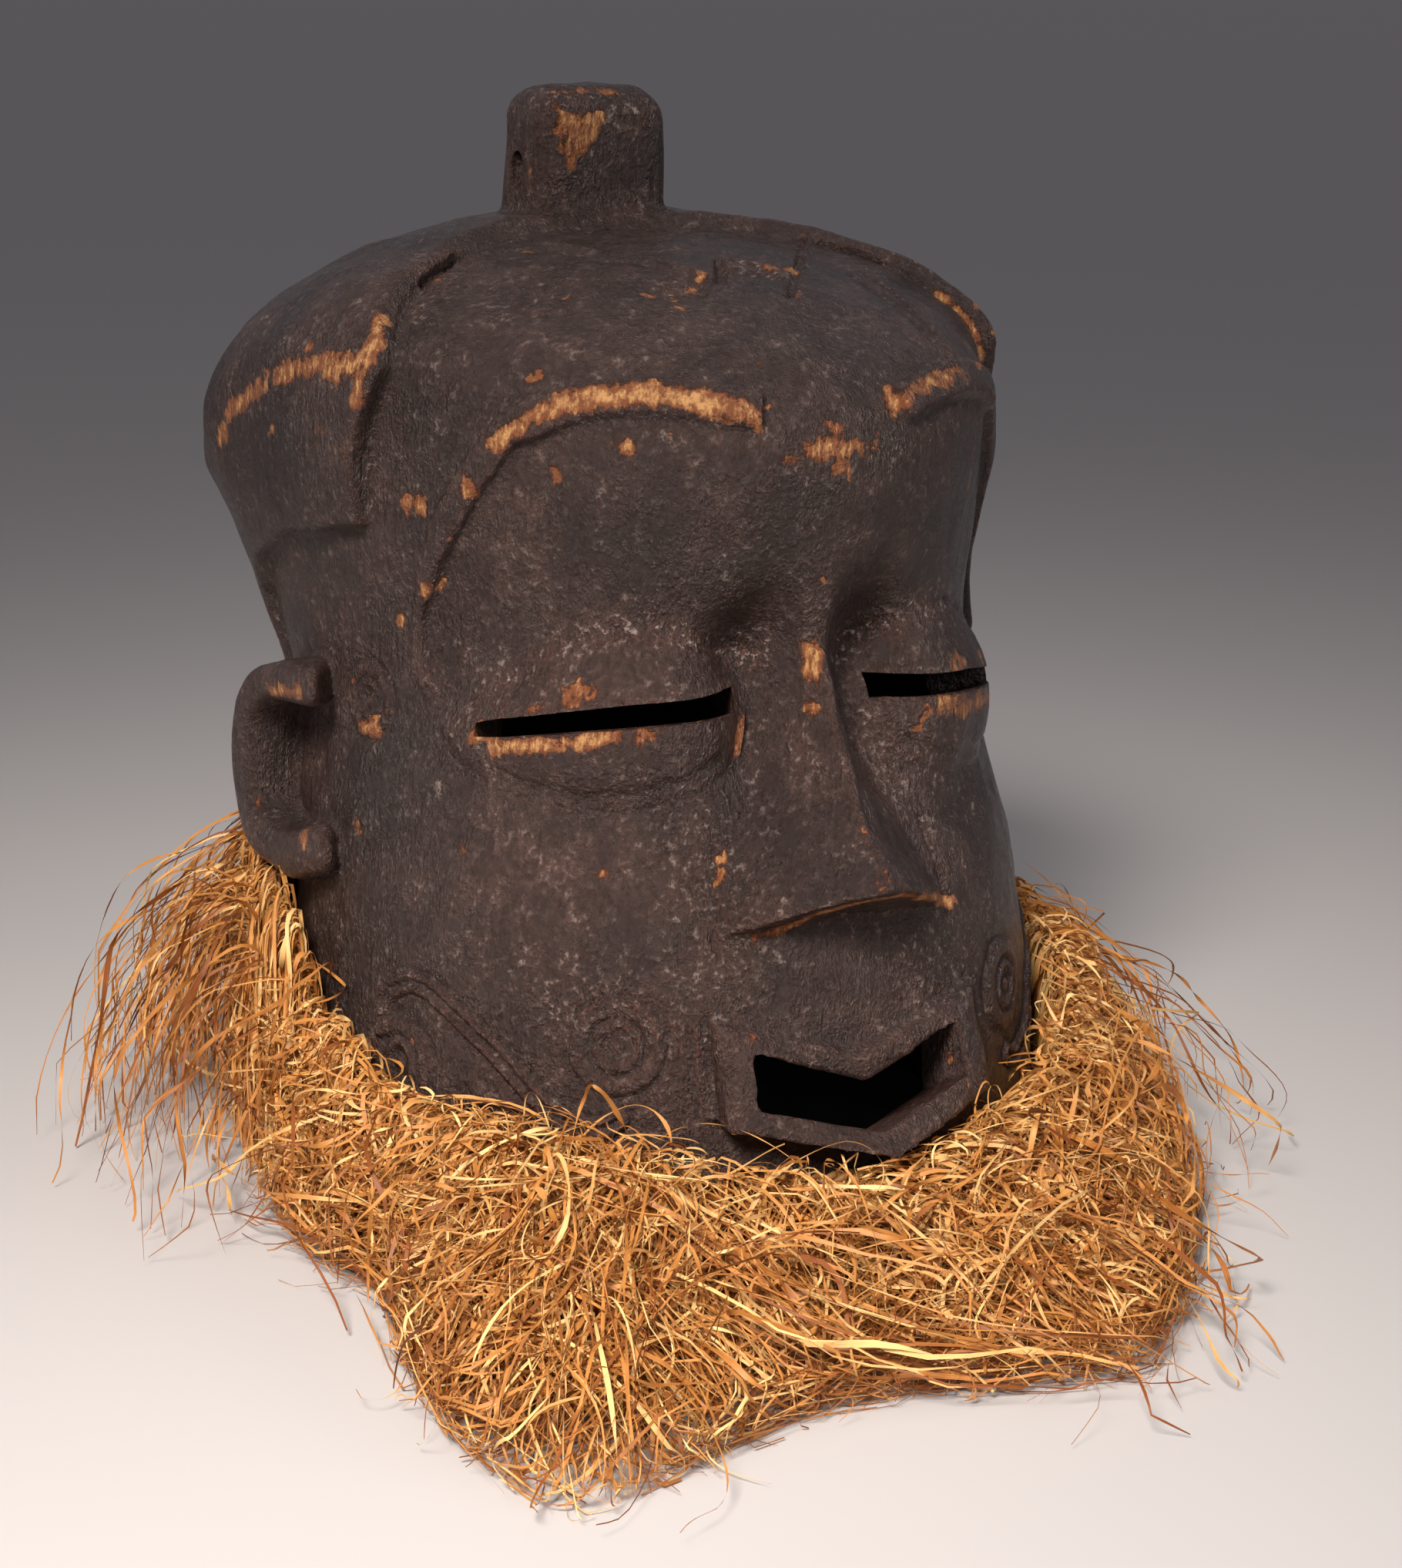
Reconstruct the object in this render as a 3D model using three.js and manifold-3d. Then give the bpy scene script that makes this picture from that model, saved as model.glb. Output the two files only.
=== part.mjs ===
// Helmet mask carved from one block of wood, with a raffia fringe laced to its rim.
// Millimetres, +Z up. The rim stands on z = 0, the face looks along -Y and +X is the mask's own left.
// Angles are measured round the head from the face, and a level runs from 0 at the rim
// over 1 at the worn ridge of the hair to 2 at the top of the dome.

import * as THREE from "three";
import { mergeVertices } from "three/addons/utils/BufferGeometryUtils.js";
import Module from "manifold-3d";

const wasm = await Module();
wasm.setup();

// Driving dimensions

// Plan of the wall at a few heights: half width, front, back and the place of the widest point.
const WALL_STATIONS = [
  { z: 0, half: 119, front: -124, back: 119, middle: 0 },
  { z: 30, half: 120, front: -125, back: 121, middle: 0 },
  { z: 75, half: 117, front: -120, back: 122, middle: 4 },
  { z: 110, half: 113, front: -111, back: 126, middle: 12 },
  { z: 150, half: 108, front: -96, back: 134, middle: 26 },
  { z: 183, half: 110, front: -90, back: 152, middle: 46 },
  { z: 215, half: 117, front: -95, back: 176, middle: 64 },
  { z: 243, half: 119, front: -101, back: 188, middle: 74 },
  { z: 270, half: 119, front: -98, back: 190, middle: 78 },
];
const FRONT_FULLNESS = 2.02;
const BACK_FULLNESS = 2.3;

// Hollows in which the eyes lie, one on each side of the bridge of the nose.
const SOCKET = {
  depth: 13, x: 19, spread: 15, bridge: 8,
  stations: [
    { z: 100, share: 0 },
    { z: 120, share: 0.1 },
    { z: 140, share: 0.35 },
    { z: 158, share: 0.8 },
    { z: 172, share: 1 },
    { z: 184, share: 0.95 },
    { z: 198, share: 0.4 },
    { z: 212, share: 0.05 },
    { z: 225, share: 0 },
  ],
};

// Height of the ridge between wall and dome, by angle from the face in degrees.
const RIDGE_STATIONS = [
  { angle: 0, z: 243 },
  { angle: 25, z: 247 },
  { angle: 45, z: 257 },
  { angle: 60, z: 263 },
  { angle: 75, z: 255 },
  { angle: 90, z: 239 },
  { angle: 110, z: 217 },
  { angle: 140, z: 202 },
  { angle: 180, z: 196 },
];
const DOME_TOP = { y: 52, z: 298 };
const DOME_SHOULDER = 0.9;
const LAST_LEVEL = 1.965;

const COLUMNS = 52;
const WALL_ROWS = 11;
const DOME_ROWS = 5;

const WALL_THICKNESS = 14;
const DOME_THICKNESS = 20;
const CAVITY_COLUMNS = 32;
const CAVITY_ROWS = 7;
const CAVITY_DOME_ROWS = 3;
const CAVITY_BOTTOM = -10;

// The raised mass of hair behind the ears, cut off by its edge as seen from the side.
const HAIR = {
  thickness: 8.5,
  thicknessAtTop: 3.5,
  reach: 400,
  edge: [
    [-12, 264], [-7, 273], [18, 291], [46, 300], [80, 312], [260, 312],
    [260, 128], [86, 128], [83, 165], [70, 190], [40, 204], [-3, 213], [-5, 238],
  ],
};

const KNOB = {
  y: 67, width: 51, depth: 32, foot: 286, waist: 304, top: 343, rounding: 12, flare: 2.5, sides: 16,
};
const KNOB_HOLE = { z: 315, width: 9.5, height: 12.5, length: 120, sides: 12 };

const NOSE = {
  bridge: 184, wing: 101, tip: 120.5, lipHeight: 97,
  halfWidth: 43, halfBridge: 5, reach: 32, bridgeReach: 3, root: 7,
};

const EYE = {
  outerX: -98, innerX: -16, crestX: -28, crestZ: 169.1, droop: 0.0028,
  above: 27, below: 30, bulge: 10.5, root: -6,
};
const SLIT = { outerX: -89, innerX: -23, heights: [4.6, 5.6, 6.2, 6.2, 6], front: 22, behind: -28 };

// Mouth frame: outer and inner corners as half width, y and height, on the right half.
const MOUTH = {
  upperCorner: { x: 43.5, y: -115, z: 78 },
  upperPeak: { x: 0, y: -126.5, z: 65.5 },
  lowerCorner: { x: 44, y: -127, z: 47 },
  lowerPeak: { x: 0, y: -149, z: 38.5 },
  innerUpperCorner: { x: 36, y: -121.5, z: 69 },
  innerUpperPeak: { x: 0, y: -127, z: 56.5 },
  innerLowerCorner: { x: 37, y: -128, z: 53.5 },
  innerLowerPeak: { x: 0, y: -141, z: 45.5 },
  root: -96, openingFront: -170, openingBehind: -60,
};

// Paths on the head are pairs of an angle in degrees and a level.
const BAND = {
  path: [
    [-59.5, 0.61], [-56.5, 0.7], [-49.5, 0.79], [-41, 0.9], [-34, 1.0], [-26, 1.15], [-17, 1.2], [-8, 1.17],
  ],
  footWidth: 5, topWidth: 12.5, height: 3.6,
};
const STRIP_ROOT = -3;

// Carved circles on both sides of the face, and one on the dome that only the mask's right side has.
const RINGS = [
  { angle: 35, level: 0.275, radius: 15.5, inner: 8, single: false },
  { angle: 76, level: 0.62, radius: 12.5, inner: 6.5, single: false },
  { angle: -32, level: 1.54, radius: 14.5, inner: 6, single: true },
  { angle: 71, level: 0.2, radius: 15.5, inner: 8, single: false },
];
const RING = { width: 5.5, height: 2.2, groove: 0.5, sides: 12 };

const SCROLL = {
  path: [
    [-75, 0.24], [-74, 0.275], [-71.8, 0.291], [-68.5, 0.301], [-64.9, 0.297],
    [-57.3, 0.262], [-49.8, 0.217], [-43.3, 0.179], [-38, 0.174], [-35, 0.19],
  ],
  width: 6, height: 2.2,
};

// Middle of an ear's thick rim, from its upper lobe round the back to its lower lobe.
const EAR = {
  path: [
    [-113, 21, 160], [-114.5, 38, 157.5], [-115, 53, 153], [-115.5, 63, 143], [-115.5, 65, 127],
    [-115, 63, 111.5], [-115, 51, 103], [-114, 31, 102.5], [-112.5, 12, 108],
  ],
  face: [-0.985, -0.17, 0],
  rim: 14, thickness: 22, chamfer: 2, slant: 1.1, steps: 14,
};

const LACING = {
  z: 28, cord: 4.5, hole: 10, holes: 10, standOff: 1.8, bend: 5 / 120, run: [0.37, 0.63],
  sides: 5, holeSides: 6,
};
const LACING_BORE = { outside: 10, inside: 12 };

// Reach of the raffia from the middle of the rim and the height of its roll, by angle from the face.
const FRINGE_STATIONS = [
  { angle: -180, reach: 190, top: 78 },
  { angle: -128, reach: 192, top: 92 },
  { angle: -105, reach: 201, top: 82 },
  { angle: -88, reach: 190, top: 66 },
  { angle: -72, reach: 178, top: 50 },
  { angle: -54, reach: 190, top: 45 },
  { angle: -36, reach: 278, top: 44 },
  { angle: -20, reach: 240, top: 36 },
  { angle: 0, reach: 258, top: 31 },
  { angle: 12, reach: 252, top: 34 },
  { angle: 30, reach: 210, top: 46 },
  { angle: 60, reach: 190, top: 58 },
  { angle: 105, reach: 202, top: 66 },
  { angle: 180, reach: 190, top: 78 },
];
const FRINGE = { gap: 0.8, columns: 72, notch: 23, notchDepth: 8.6, locks: 0.05, ridges: 3.5 };

// Helpers for curves and closed meshes

const DEGREE = Math.PI / 180;

function lerp(a, b, t) {
  return a + (b - a) * t;
}

// Smooth curve through the stations' values, with the slope of its neighbours at each station.
function through(stations, keyOf, valueOf, at) {
  const last = stations.length - 1;
  const slope = (i) => {
    const a = Math.max(i - 1, 0);
    const b = Math.min(i + 1, last);
    return (valueOf(stations[b]) - valueOf(stations[a])) / (keyOf(stations[b]) - keyOf(stations[a]));
  };
  let i = 0;
  while (i < last - 1 && at > keyOf(stations[i + 1])) {
    i += 1;
  }
  const step = keyOf(stations[i + 1]) - keyOf(stations[i]);
  const s = Math.min(Math.max((at - keyOf(stations[i])) / step, 0), 1);
  const rise = s * s * (3 - 2 * s);
  const bow = step * (s * (1 - s) ** 2 * slope(i) - s * s * (1 - s) * slope(i + 1));
  return lerp(valueOf(stations[i]), valueOf(stations[i + 1]), rise) + bow;
}

function wallAt(z, part) {
  return through(WALL_STATIONS, (s) => s.z, (s) => s[part], z);
}

function ridgeAt(angle) {
  const turned = Math.abs(Math.atan2(Math.sin(angle), Math.cos(angle))) / DEGREE;
  return through(RIDGE_STATIONS, (s) => s.angle, (s) => s.z, turned);
}

// How far the wall is set back in the hollows beside the bridge.
function socketAt(x, z) {
  const share = through(SOCKET.stations, (s) => s.z, (s) => s.share, z);
  const hollow = Math.exp(-(((Math.abs(x) - SOCKET.x) / SOCKET.spread) ** 2));
  const bridge = Math.exp(-((x / SOCKET.bridge) ** 2));
  return SOCKET.depth * share * hollow * (1 - bridge);
}

// A point of the wall at a height, with the wall moved out by an offset.
function wallPoint(angle, z, offset = 0) {
  const half = wallAt(z, "half") + offset;
  const middle = wallAt(z, "middle");
  const sine = Math.sin(angle);
  const cosine = Math.cos(angle);
  const depth = cosine > 0 ? middle - wallAt(z, "front") + offset : wallAt(z, "back") - middle + offset;
  const fullness = cosine > 0 ? lerp(FRONT_FULLNESS, BACK_FULLNESS, sine ** 4) : BACK_FULLNESS;
  const sum = Math.abs(sine / half) ** fullness + Math.abs(cosine / depth) ** fullness;
  const radius = sum ** (-1 / fullness);
  const setBack = cosine > 0 ? socketAt(radius * sine, z) : 0;
  return new THREE.Vector3(radius * sine, middle - radius * cosine + setBack, z);
}

// A point of the head: the wall up to level 1 and the dome above it.
function headPoint(angle, level, offset = 0, domeOffset = offset) {
  const ridge = ridgeAt(angle);
  if (level <= 1) {
    return wallPoint(angle, ridge * level, offset);
  }
  const base = wallPoint(angle, ridge, offset);
  const turn = ((level - 1) * Math.PI) / 2;
  const inward = Math.cos(turn) ** DOME_SHOULDER;
  const top = DOME_TOP.z + domeOffset;
  return new THREE.Vector3(
    base.x * inward,
    lerp(DOME_TOP.y, base.y, inward),
    lerp(ridge, top, Math.sin(turn)),
  );
}

// Outward normal of the head and its two tangents, by small differences.
function headFrame(angle, level) {
  const small = 1e-3;
  const point = headPoint(angle, level);
  const around = headPoint(angle + small, level).sub(headPoint(angle - small, level)).divideScalar(2 * small);
  const low = headPoint(angle, level - small);
  const up = headPoint(angle, level + small).sub(low).divideScalar(2 * small);
  const normal = new THREE.Vector3().crossVectors(around, up).normalize();
  return { point, around, up, normal };
}

// Angle of the wall's point at a given x, on the front half.
function angleAtX(x, z) {
  let low = 0;
  let high = Math.PI / 2;
  for (let i = 0; i < 30; i += 1) {
    const half = (low + high) / 2;
    if (wallPoint(half, z).x < Math.abs(x)) {
      low = half;
    } else {
      high = half;
    }
  }
  return Math.sign(x) * low;
}

function faceY(x, z) {
  return wallPoint(angleAtX(x, z), z).y;
}

// Closed surface from rows of points that each run once round, with a fan over both ends.
function loft(rows, closed = false) {
  const sides = rows[0].length;
  const positions = rows.flat().flatMap((p) => [p.x, p.y, p.z]);
  const index = [];
  const count = closed ? rows.length : rows.length - 1;
  for (let r = 0; r < count; r += 1) {
    const next = (r + 1) % rows.length;
    for (let c = 0; c < sides; c += 1) {
      const a = r * sides + c;
      const b = r * sides + ((c + 1) % sides);
      const d = next * sides + c;
      const e = next * sides + ((c + 1) % sides);
      index.push(a, b, e, a, e, d);
    }
  }
  if (!closed) {
    addCap(rows[0], 0, true, positions, index);
    addCap(rows[rows.length - 1], (rows.length - 1) * sides, false, positions, index);
  }
  const geometry = new THREE.BufferGeometry();
  geometry.setAttribute("position", new THREE.Float32BufferAttribute(positions, 3));
  geometry.setIndex(index);
  return geometry;
}

function addCap(row, first, flipped, positions, index) {
  const centre = row.reduce((sum, p) => sum.add(p), new THREE.Vector3()).divideScalar(row.length);
  const middle = positions.length / 3;
  positions.push(centre.x, centre.y, centre.z);
  for (let c = 0; c < row.length; c += 1) {
    const a = first + c;
    const b = first + ((c + 1) % row.length);
    index.push(...(flipped ? [b, a, middle] : [a, b, middle]));
  }
}

function signedVolume(geometry) {
  const p = geometry.getAttribute("position");
  const index = geometry.getIndex().array;
  const [a, b, c] = [new THREE.Vector3(), new THREE.Vector3(), new THREE.Vector3()];
  let volume = 0;
  for (let i = 0; i < index.length; i += 3) {
    a.fromBufferAttribute(p, index[i]);
    b.fromBufferAttribute(p, index[i + 1]);
    c.fromBufferAttribute(p, index[i + 2]);
    volume += a.dot(b.cross(c)) / 6;
  }
  return volume;
}

// A solid from a closed geometry, with its faces turned outward.
function solid(geometry) {
  const bare = geometry.clone();
  bare.deleteAttribute("normal");
  bare.deleteAttribute("uv");
  const merged = mergeVertices(bare, 1e-4);
  const triVerts = new Uint32Array(merged.getIndex().array);
  if (signedVolume(merged) < 0) {
    for (let i = 0; i < triVerts.length; i += 3) {
      const first = triVerts[i];
      triVerts[i] = triVerts[i + 1];
      triVerts[i + 1] = first;
    }
  }
  const vertProperties = new Float32Array(merged.getAttribute("position").array);
  return new wasm.Manifold(new wasm.Mesh({ numProp: 3, vertProperties, triVerts }));
}

function joined(solids) {
  return solids.reduce((sum, next) => sum.add(next));
}

function geometryOf(body) {
  const mesh = body.getMesh();
  const geometry = new THREE.BufferGeometry();
  geometry.setAttribute("position", new THREE.Float32BufferAttribute(mesh.vertProperties, 3));
  geometry.setIndex(Array.from(mesh.triVerts));
  geometry.computeVertexNormals();
  return geometry;
}

function mirrored(geometry) {
  return geometry.clone().scale(-1, 1, 1);
}

// A solid and its mirror image across the middle of the face.
function pair(geometry) {
  return joined([solid(geometry), solid(mirrored(geometry))]);
}

// Parts of the head

// The head as a stack of rings, closed flat below the rim and by a fan at the top.
function headSolid({ offset, domeOffset, columns, rows, domeRows, bottom }) {
  const levels = [];
  for (let i = 0; i <= rows; i += 1) {
    levels.push(i / rows);
  }
  for (let i = 1; i < domeRows; i += 1) {
    levels.push(1 + i / domeRows);
  }
  levels.push(LAST_LEVEL);
  const rings = levels.map((level) => {
    const ring = [];
    for (let c = 0; c < columns; c += 1) {
      ring.push(headPoint((c * 2 * Math.PI) / columns, level, offset, domeOffset));
    }
    return ring;
  });
  if (bottom < 0) {
    rings.unshift(rings[0].map((p) => new THREE.Vector3(p.x, p.y, bottom)));
  }
  return solid(loft(rings));
}

function head() {
  return headSolid({
    offset: 0, domeOffset: 0, columns: COLUMNS, rows: WALL_ROWS, domeRows: DOME_ROWS, bottom: 0,
  });
}

function cavity() {
  return headSolid({
    offset: -WALL_THICKNESS,
    domeOffset: -DOME_THICKNESS,
    columns: CAVITY_COLUMNS,
    rows: CAVITY_ROWS,
    domeRows: CAVITY_DOME_ROWS,
    bottom: CAVITY_BOTTOM,
  });
}

// Hair mass: a thicker head, kept only behind the edge of the hair.
function hair() {
  const thick = headSolid({
    offset: HAIR.thickness,
    domeOffset: HAIR.thicknessAtTop,
    columns: COLUMNS,
    rows: WALL_ROWS,
    domeRows: DOME_ROWS,
    bottom: 0,
  });
  const outline = new THREE.Shape(HAIR.edge.map(([y, z]) => new THREE.Vector2(y, z)));
  const region = new THREE.ExtrudeGeometry(outline, { depth: HAIR.reach, bevelEnabled: false });
  region.translate(0, 0, -HAIR.reach / 2);
  region.applyMatrix4(new THREE.Matrix4().set(0, 0, 1, 0, 1, 0, 0, 0, 0, 1, 0, 0, 0, 0, 0, 1));
  return thick.intersect(solid(region));
}

// Rounded oblong section of the knob at a height.
function oblong(width, depth, z) {
  return turns(KNOB.sides).map((turn) => {
    const cosine = Math.cos(turn);
    const sine = Math.sin(turn);
    const reach = (cosine ** 4 + sine ** 4) ** -0.25;
    return new THREE.Vector3((width / 2) * reach * cosine, KNOB.y + (depth / 2) * reach * sine, z);
  });
}

function knob() {
  const { width, depth, foot, waist, top, rounding, flare } = KNOB;
  const rows = [
    oblong(width + 2 * flare, depth + 2 * flare, foot),
    oblong(width, depth, waist),
  ];
  for (let i = 0; i <= 3; i += 1) {
    const turn = (i * Math.PI) / 2 / 3.3;
    const inset = rounding * (1 - Math.cos(turn));
    const height = top - rounding * (1 - Math.sin(turn));
    rows.push(oblong(width - 1 - 2 * inset, depth - 1 - 2 * inset, height));
  }
  return solid(loft(rows));
}

function knobHole() {
  const bore = new THREE.CylinderGeometry(0.5, 0.5, KNOB_HOLE.length, KNOB_HOLE.sides);
  bore.rotateZ(Math.PI / 2);
  bore.scale(1, KNOB_HOLE.width, KNOB_HOLE.height);
  bore.translate(0, KNOB.y, KNOB_HOLE.z);
  return solid(bore);
}

// The nose: a wedge that widens from the bridge to the wings, with its underside cut back to the lip.
function nose() {
  const across = 8;
  const down = 7;
  const rows = [];
  for (let r = 0; r <= down; r += 1) {
    const s = r / down;
    const half = lerp(NOSE.halfBridge, NOSE.halfWidth, s ** 1.15);
    const reach = lerp(NOSE.bridgeReach, NOSE.reach, s);
    const row = [];
    for (let c = 0; c <= across; c += 1) {
      const u = (2 * c) / across - 1;
      const x = u * half;
      const crown = (1 - Math.abs(u) ** 1.3) ** 1.1;
      const edge = lerp(NOSE.wing, NOSE.tip, 1 - Math.abs(u) ** 1.25);
      const z = lerp(NOSE.bridge, edge, s);
      row.push(new THREE.Vector3(x, faceY(x, z) + 1 - reach * crown, z));
    }
    const backZ = lerp(NOSE.bridge, NOSE.lipHeight, s);
    const backY = faceY(half * 0.7, backZ) + NOSE.root;
    row.push(new THREE.Vector3(half * 0.7, backY, backZ), new THREE.Vector3(-half * 0.7, backY, backZ));
    rows.push(row);
  }
  return solid(loft(rows));
}

// Height of the line where the lids meet, which falls away towards the temple.
function lidLine(x) {
  return EYE.crestZ - EYE.droop * (x - EYE.crestX) ** 2;
}

// One bulging eye, like a coffee bean lying across the face.
function eyeBulge() {
  const along = 8;
  const across = 6;
  const rows = [];
  for (let r = 0; r <= along; r += 1) {
    const s = lerp(0.03, 0.97, r / along);
    const swell = Math.sin(Math.PI * s);
    const x = lerp(EYE.outerX, EYE.innerX, s);
    const middle = lidLine(x);
    const row = [];
    for (let c = 0; c <= across; c += 1) {
      const v = (2 * c) / across - 1;
      const z = middle + (v > 0 ? v * EYE.above * swell ** 0.6 : v * EYE.below * swell ** 0.45);
      const angle = angleAtX(x, z);
      const out = EYE.bulge * swell ** 0.5 * (1 - Math.abs(v) ** 1.6) - 0.6;
      row.push(wallPoint(angle, z, out));
    }
    for (const z of [middle + 4, middle - 4]) {
      row.push(wallPoint(angleAtX(x, z), z, EYE.root));
    }
    rows.push(row);
  }
  return loft(rows);
}

// The slit through one eye, higher and blunter at its inner end.
function eyeSlit() {
  const rows = SLIT.heights.map((height, i) => {
    const x = lerp(SLIT.outerX, SLIT.innerX, i / (SLIT.heights.length - 1));
    const z = lidLine(x);
    const half = height / 2;
    const angle = angleAtX(x, z);
    const front = wallPoint(angle, z, SLIT.front);
    const behind = wallPoint(angle, z, SLIT.behind);
    return [
      new THREE.Vector3(front.x, front.y, z - half),
      new THREE.Vector3(front.x, front.y, z + half),
      new THREE.Vector3(behind.x, behind.y, z + half),
      new THREE.Vector3(behind.x, behind.y, z - half),
    ];
  });
  return loft(rows);
}

function cornersInTurn(upper, upperPeak, lower, lowerPeak) {
  const left = (p) => new THREE.Vector3(-p.x, p.y, p.z);
  const right = (p) => new THREE.Vector3(p.x, p.y, p.z);
  return [left(upper), right(upperPeak), right(upper), right(lower), right(lowerPeak), left(lower)];
}

// The chevron frame round the mouth, lofted from corner to corner.
function mouthFrame() {
  const outer = cornersInTurn(MOUTH.upperCorner, MOUTH.upperPeak, MOUTH.lowerCorner, MOUTH.lowerPeak);
  const inner = cornersInTurn(
    MOUTH.innerUpperCorner, MOUTH.innerUpperPeak, MOUTH.innerLowerCorner, MOUTH.innerLowerPeak,
  );
  const rows = outer.map((corner, i) => [
    corner,
    inner[i],
    new THREE.Vector3(inner[i].x, MOUTH.root, inner[i].z),
    new THREE.Vector3(corner.x, MOUTH.root, corner.z),
  ]);
  return solid(loft(rows, true));
}

function mouthOpening() {
  const inner = cornersInTurn(
    MOUTH.innerUpperCorner, MOUTH.innerUpperPeak, MOUTH.innerLowerCorner, MOUTH.innerLowerPeak,
  );
  const front = inner.map((p) => new THREE.Vector3(p.x, MOUTH.openingFront, p.z));
  const behind = inner.map((p) => new THREE.Vector3(p.x, MOUTH.openingBehind, p.z));
  return solid(loft([front, behind]));
}

// A raised strip along a path on the head, with a flat crest or a sharp one.
function strip(path, widthAt, height, steps, sharp = false) {
  const route = new THREE.CatmullRomCurve3(path.map(([a, l]) => new THREE.Vector3(a * DEGREE, l, 0)));
  const rows = [];
  for (let i = 0; i <= steps; i += 1) {
    const s = i / steps;
    const at = route.getPoint(s);
    const before = route.getPoint(Math.max(s - 0.01, 0));
    const after = route.getPoint(Math.min(s + 0.01, 1));
    const { point, normal } = headFrame(at.x, at.y);
    const along = headPoint(after.x, after.y).sub(headPoint(before.x, before.y)).normalize();
    const side = new THREE.Vector3().crossVectors(normal, along).normalize();
    const half = widthAt(s) / 2;
    const place = (across, out) => point.clone().addScaledVector(side, across).addScaledVector(normal, out);
    const crest = sharp ? [place(0, height)] : [place(half * 0.8, height), place(-half * 0.8, height)];
    rows.push([place(half, STRIP_ROOT), ...crest, place(-half, STRIP_ROOT)]);
  }
  return loft(rows);
}

function band() {
  return strip(BAND.path, (s) => lerp(BAND.footWidth, BAND.topWidth, Math.min(s * 1.3, 1)), BAND.height, 12);
}

function scroll() {
  return strip(SCROLL.path, () => SCROLL.width, SCROLL.height, 12, true);
}

// A point at a distance and direction from a place on the head, lifted off its surface.
function nearby({ angle, level }, radius, turn, out) {
  const { around, up } = headFrame(angle * DEGREE, level);
  const a = angle * DEGREE + (radius * Math.cos(turn)) / around.length();
  const l = level + (radius * Math.sin(turn)) / up.length();
  const frame = headFrame(a, l);
  return frame.point.addScaledVector(frame.normal, out);
}

function turns(count) {
  return Array.from({ length: count }, (_, i) => (i * 2 * Math.PI) / count);
}

// A raised circle round a raised boss, with a shallow groove between them.
function ringMotif(place) {
  const groove = (place.radius - RING.width + place.inner) / 2;
  const profile = [
    [place.radius, -1],
    [place.radius - RING.width / 2, RING.height],
    [groove, RING.groove],
    [place.inner * 0.7, RING.height],
  ];
  const row = ([radius, out]) => turns(RING.sides).map((turn) => nearby(place, radius, turn, out));
  const circle = loft(profile.map(row));
  return place.single ? solid(circle) : pair(circle);
}

// An ear: a thick rim shaped like a C, open to the front, whose lobes lean out over the cheek.
function ear() {
  const route = new THREE.CatmullRomCurve3(EAR.path.map(([x, y, z]) => new THREE.Vector3(x, y, z)));
  const face = new THREE.Vector3(...EAR.face).normalize();
  const half = EAR.rim / 2;
  const outer = EAR.thickness / 2;
  const rows = [];
  for (let i = 0; i <= EAR.steps; i += 1) {
    const point = route.getPoint(i / EAR.steps);
    const along = route.getTangent(i / EAR.steps);
    const side = new THREE.Vector3().crossVectors(face, along).normalize();
    const lead = EAR.slant * ((2 * i) / EAR.steps - 1) ** 3;
    const place = (across, out) => point.clone().addScaledVector(side, across)
      .addScaledVector(face, out).addScaledVector(along, lead * out);
    rows.push([
      place(-half, -outer),
      place(-half, outer - EAR.chamfer),
      place(0, outer),
      place(half, outer - EAR.chamfer),
      place(half, -outer),
    ]);
  }
  return loft(rows);
}

function lacingAngle(index) {
  return ((index + 0.5) * 2 * Math.PI) / LACING.holes;
}

// Holes through the wall a little above the rim, for the lacing.
function lacingHoles() {
  const bores = [];
  for (let i = 0; i < LACING.holes; i += 1) {
    const angle = lacingAngle(i);
    const outer = wallPoint(angle, LACING.z, LACING_BORE.outside);
    const inner = wallPoint(angle, LACING.z, -WALL_THICKNESS - LACING_BORE.inside);
    const level = new THREE.Vector3(Math.cos(angle), Math.sin(angle), 0);
    const up = new THREE.Vector3(0, 0, 1);
    const ring = (centre) => turns(LACING.holeSides).map((turn) => centre.clone()
      .addScaledVector(level, (LACING.hole / 2) * Math.cos(turn))
      .addScaledVector(up, (LACING.hole / 2) * Math.sin(turn)));
    bores.push(solid(loft([ring(outer), ring(inner)])));
  }
  return joined(bores);
}

// The lacing: one closed cord that runs outside the wall to a hole, through it and on inside.
function lacing() {
  const radius = LACING.cord / 2;
  const outside = radius + LACING.standOff;
  const inside = -WALL_THICKNESS - outside;
  const { bend, run } = LACING;
  const route = [];
  for (let i = 0; i < LACING.holes; i += 1) {
    const angle = lacingAngle(i);
    const next = lacingAngle(i + 1);
    const [from, to] = i % 2 === 0 ? [outside, inside] : [inside, outside];
    const towards = Math.sign(to - from);
    route.push([angle - bend, from]);
    route.push([angle - bend * 0.25, from + towards * 3]);
    route.push([angle, -WALL_THICKNESS / 2]);
    route.push([angle + bend * 0.25, to - towards * 3]);
    route.push([angle + bend, to]);
    route.push([lerp(angle, next, run[0]), to]);
    route.push([lerp(angle, next, run[1]), to]);
  }
  const points = route.map(([angle, offset]) => wallPoint(angle, LACING.z, offset));
  const rows = points.map((point, i) => {
    const before = points[(i + points.length - 1) % points.length];
    const after = points[(i + 1) % points.length];
    const along = after.clone().sub(before).normalize();
    const side = new THREE.Vector3(along.y, -along.x, 0);
    return turns(LACING.sides).map((turn) => point.clone()
      .addScaledVector(side, radius * Math.cos(turn))
      .add(new THREE.Vector3(0, 0, radius * Math.sin(turn))));
  });
  return solid(loft(rows, true));
}

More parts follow.
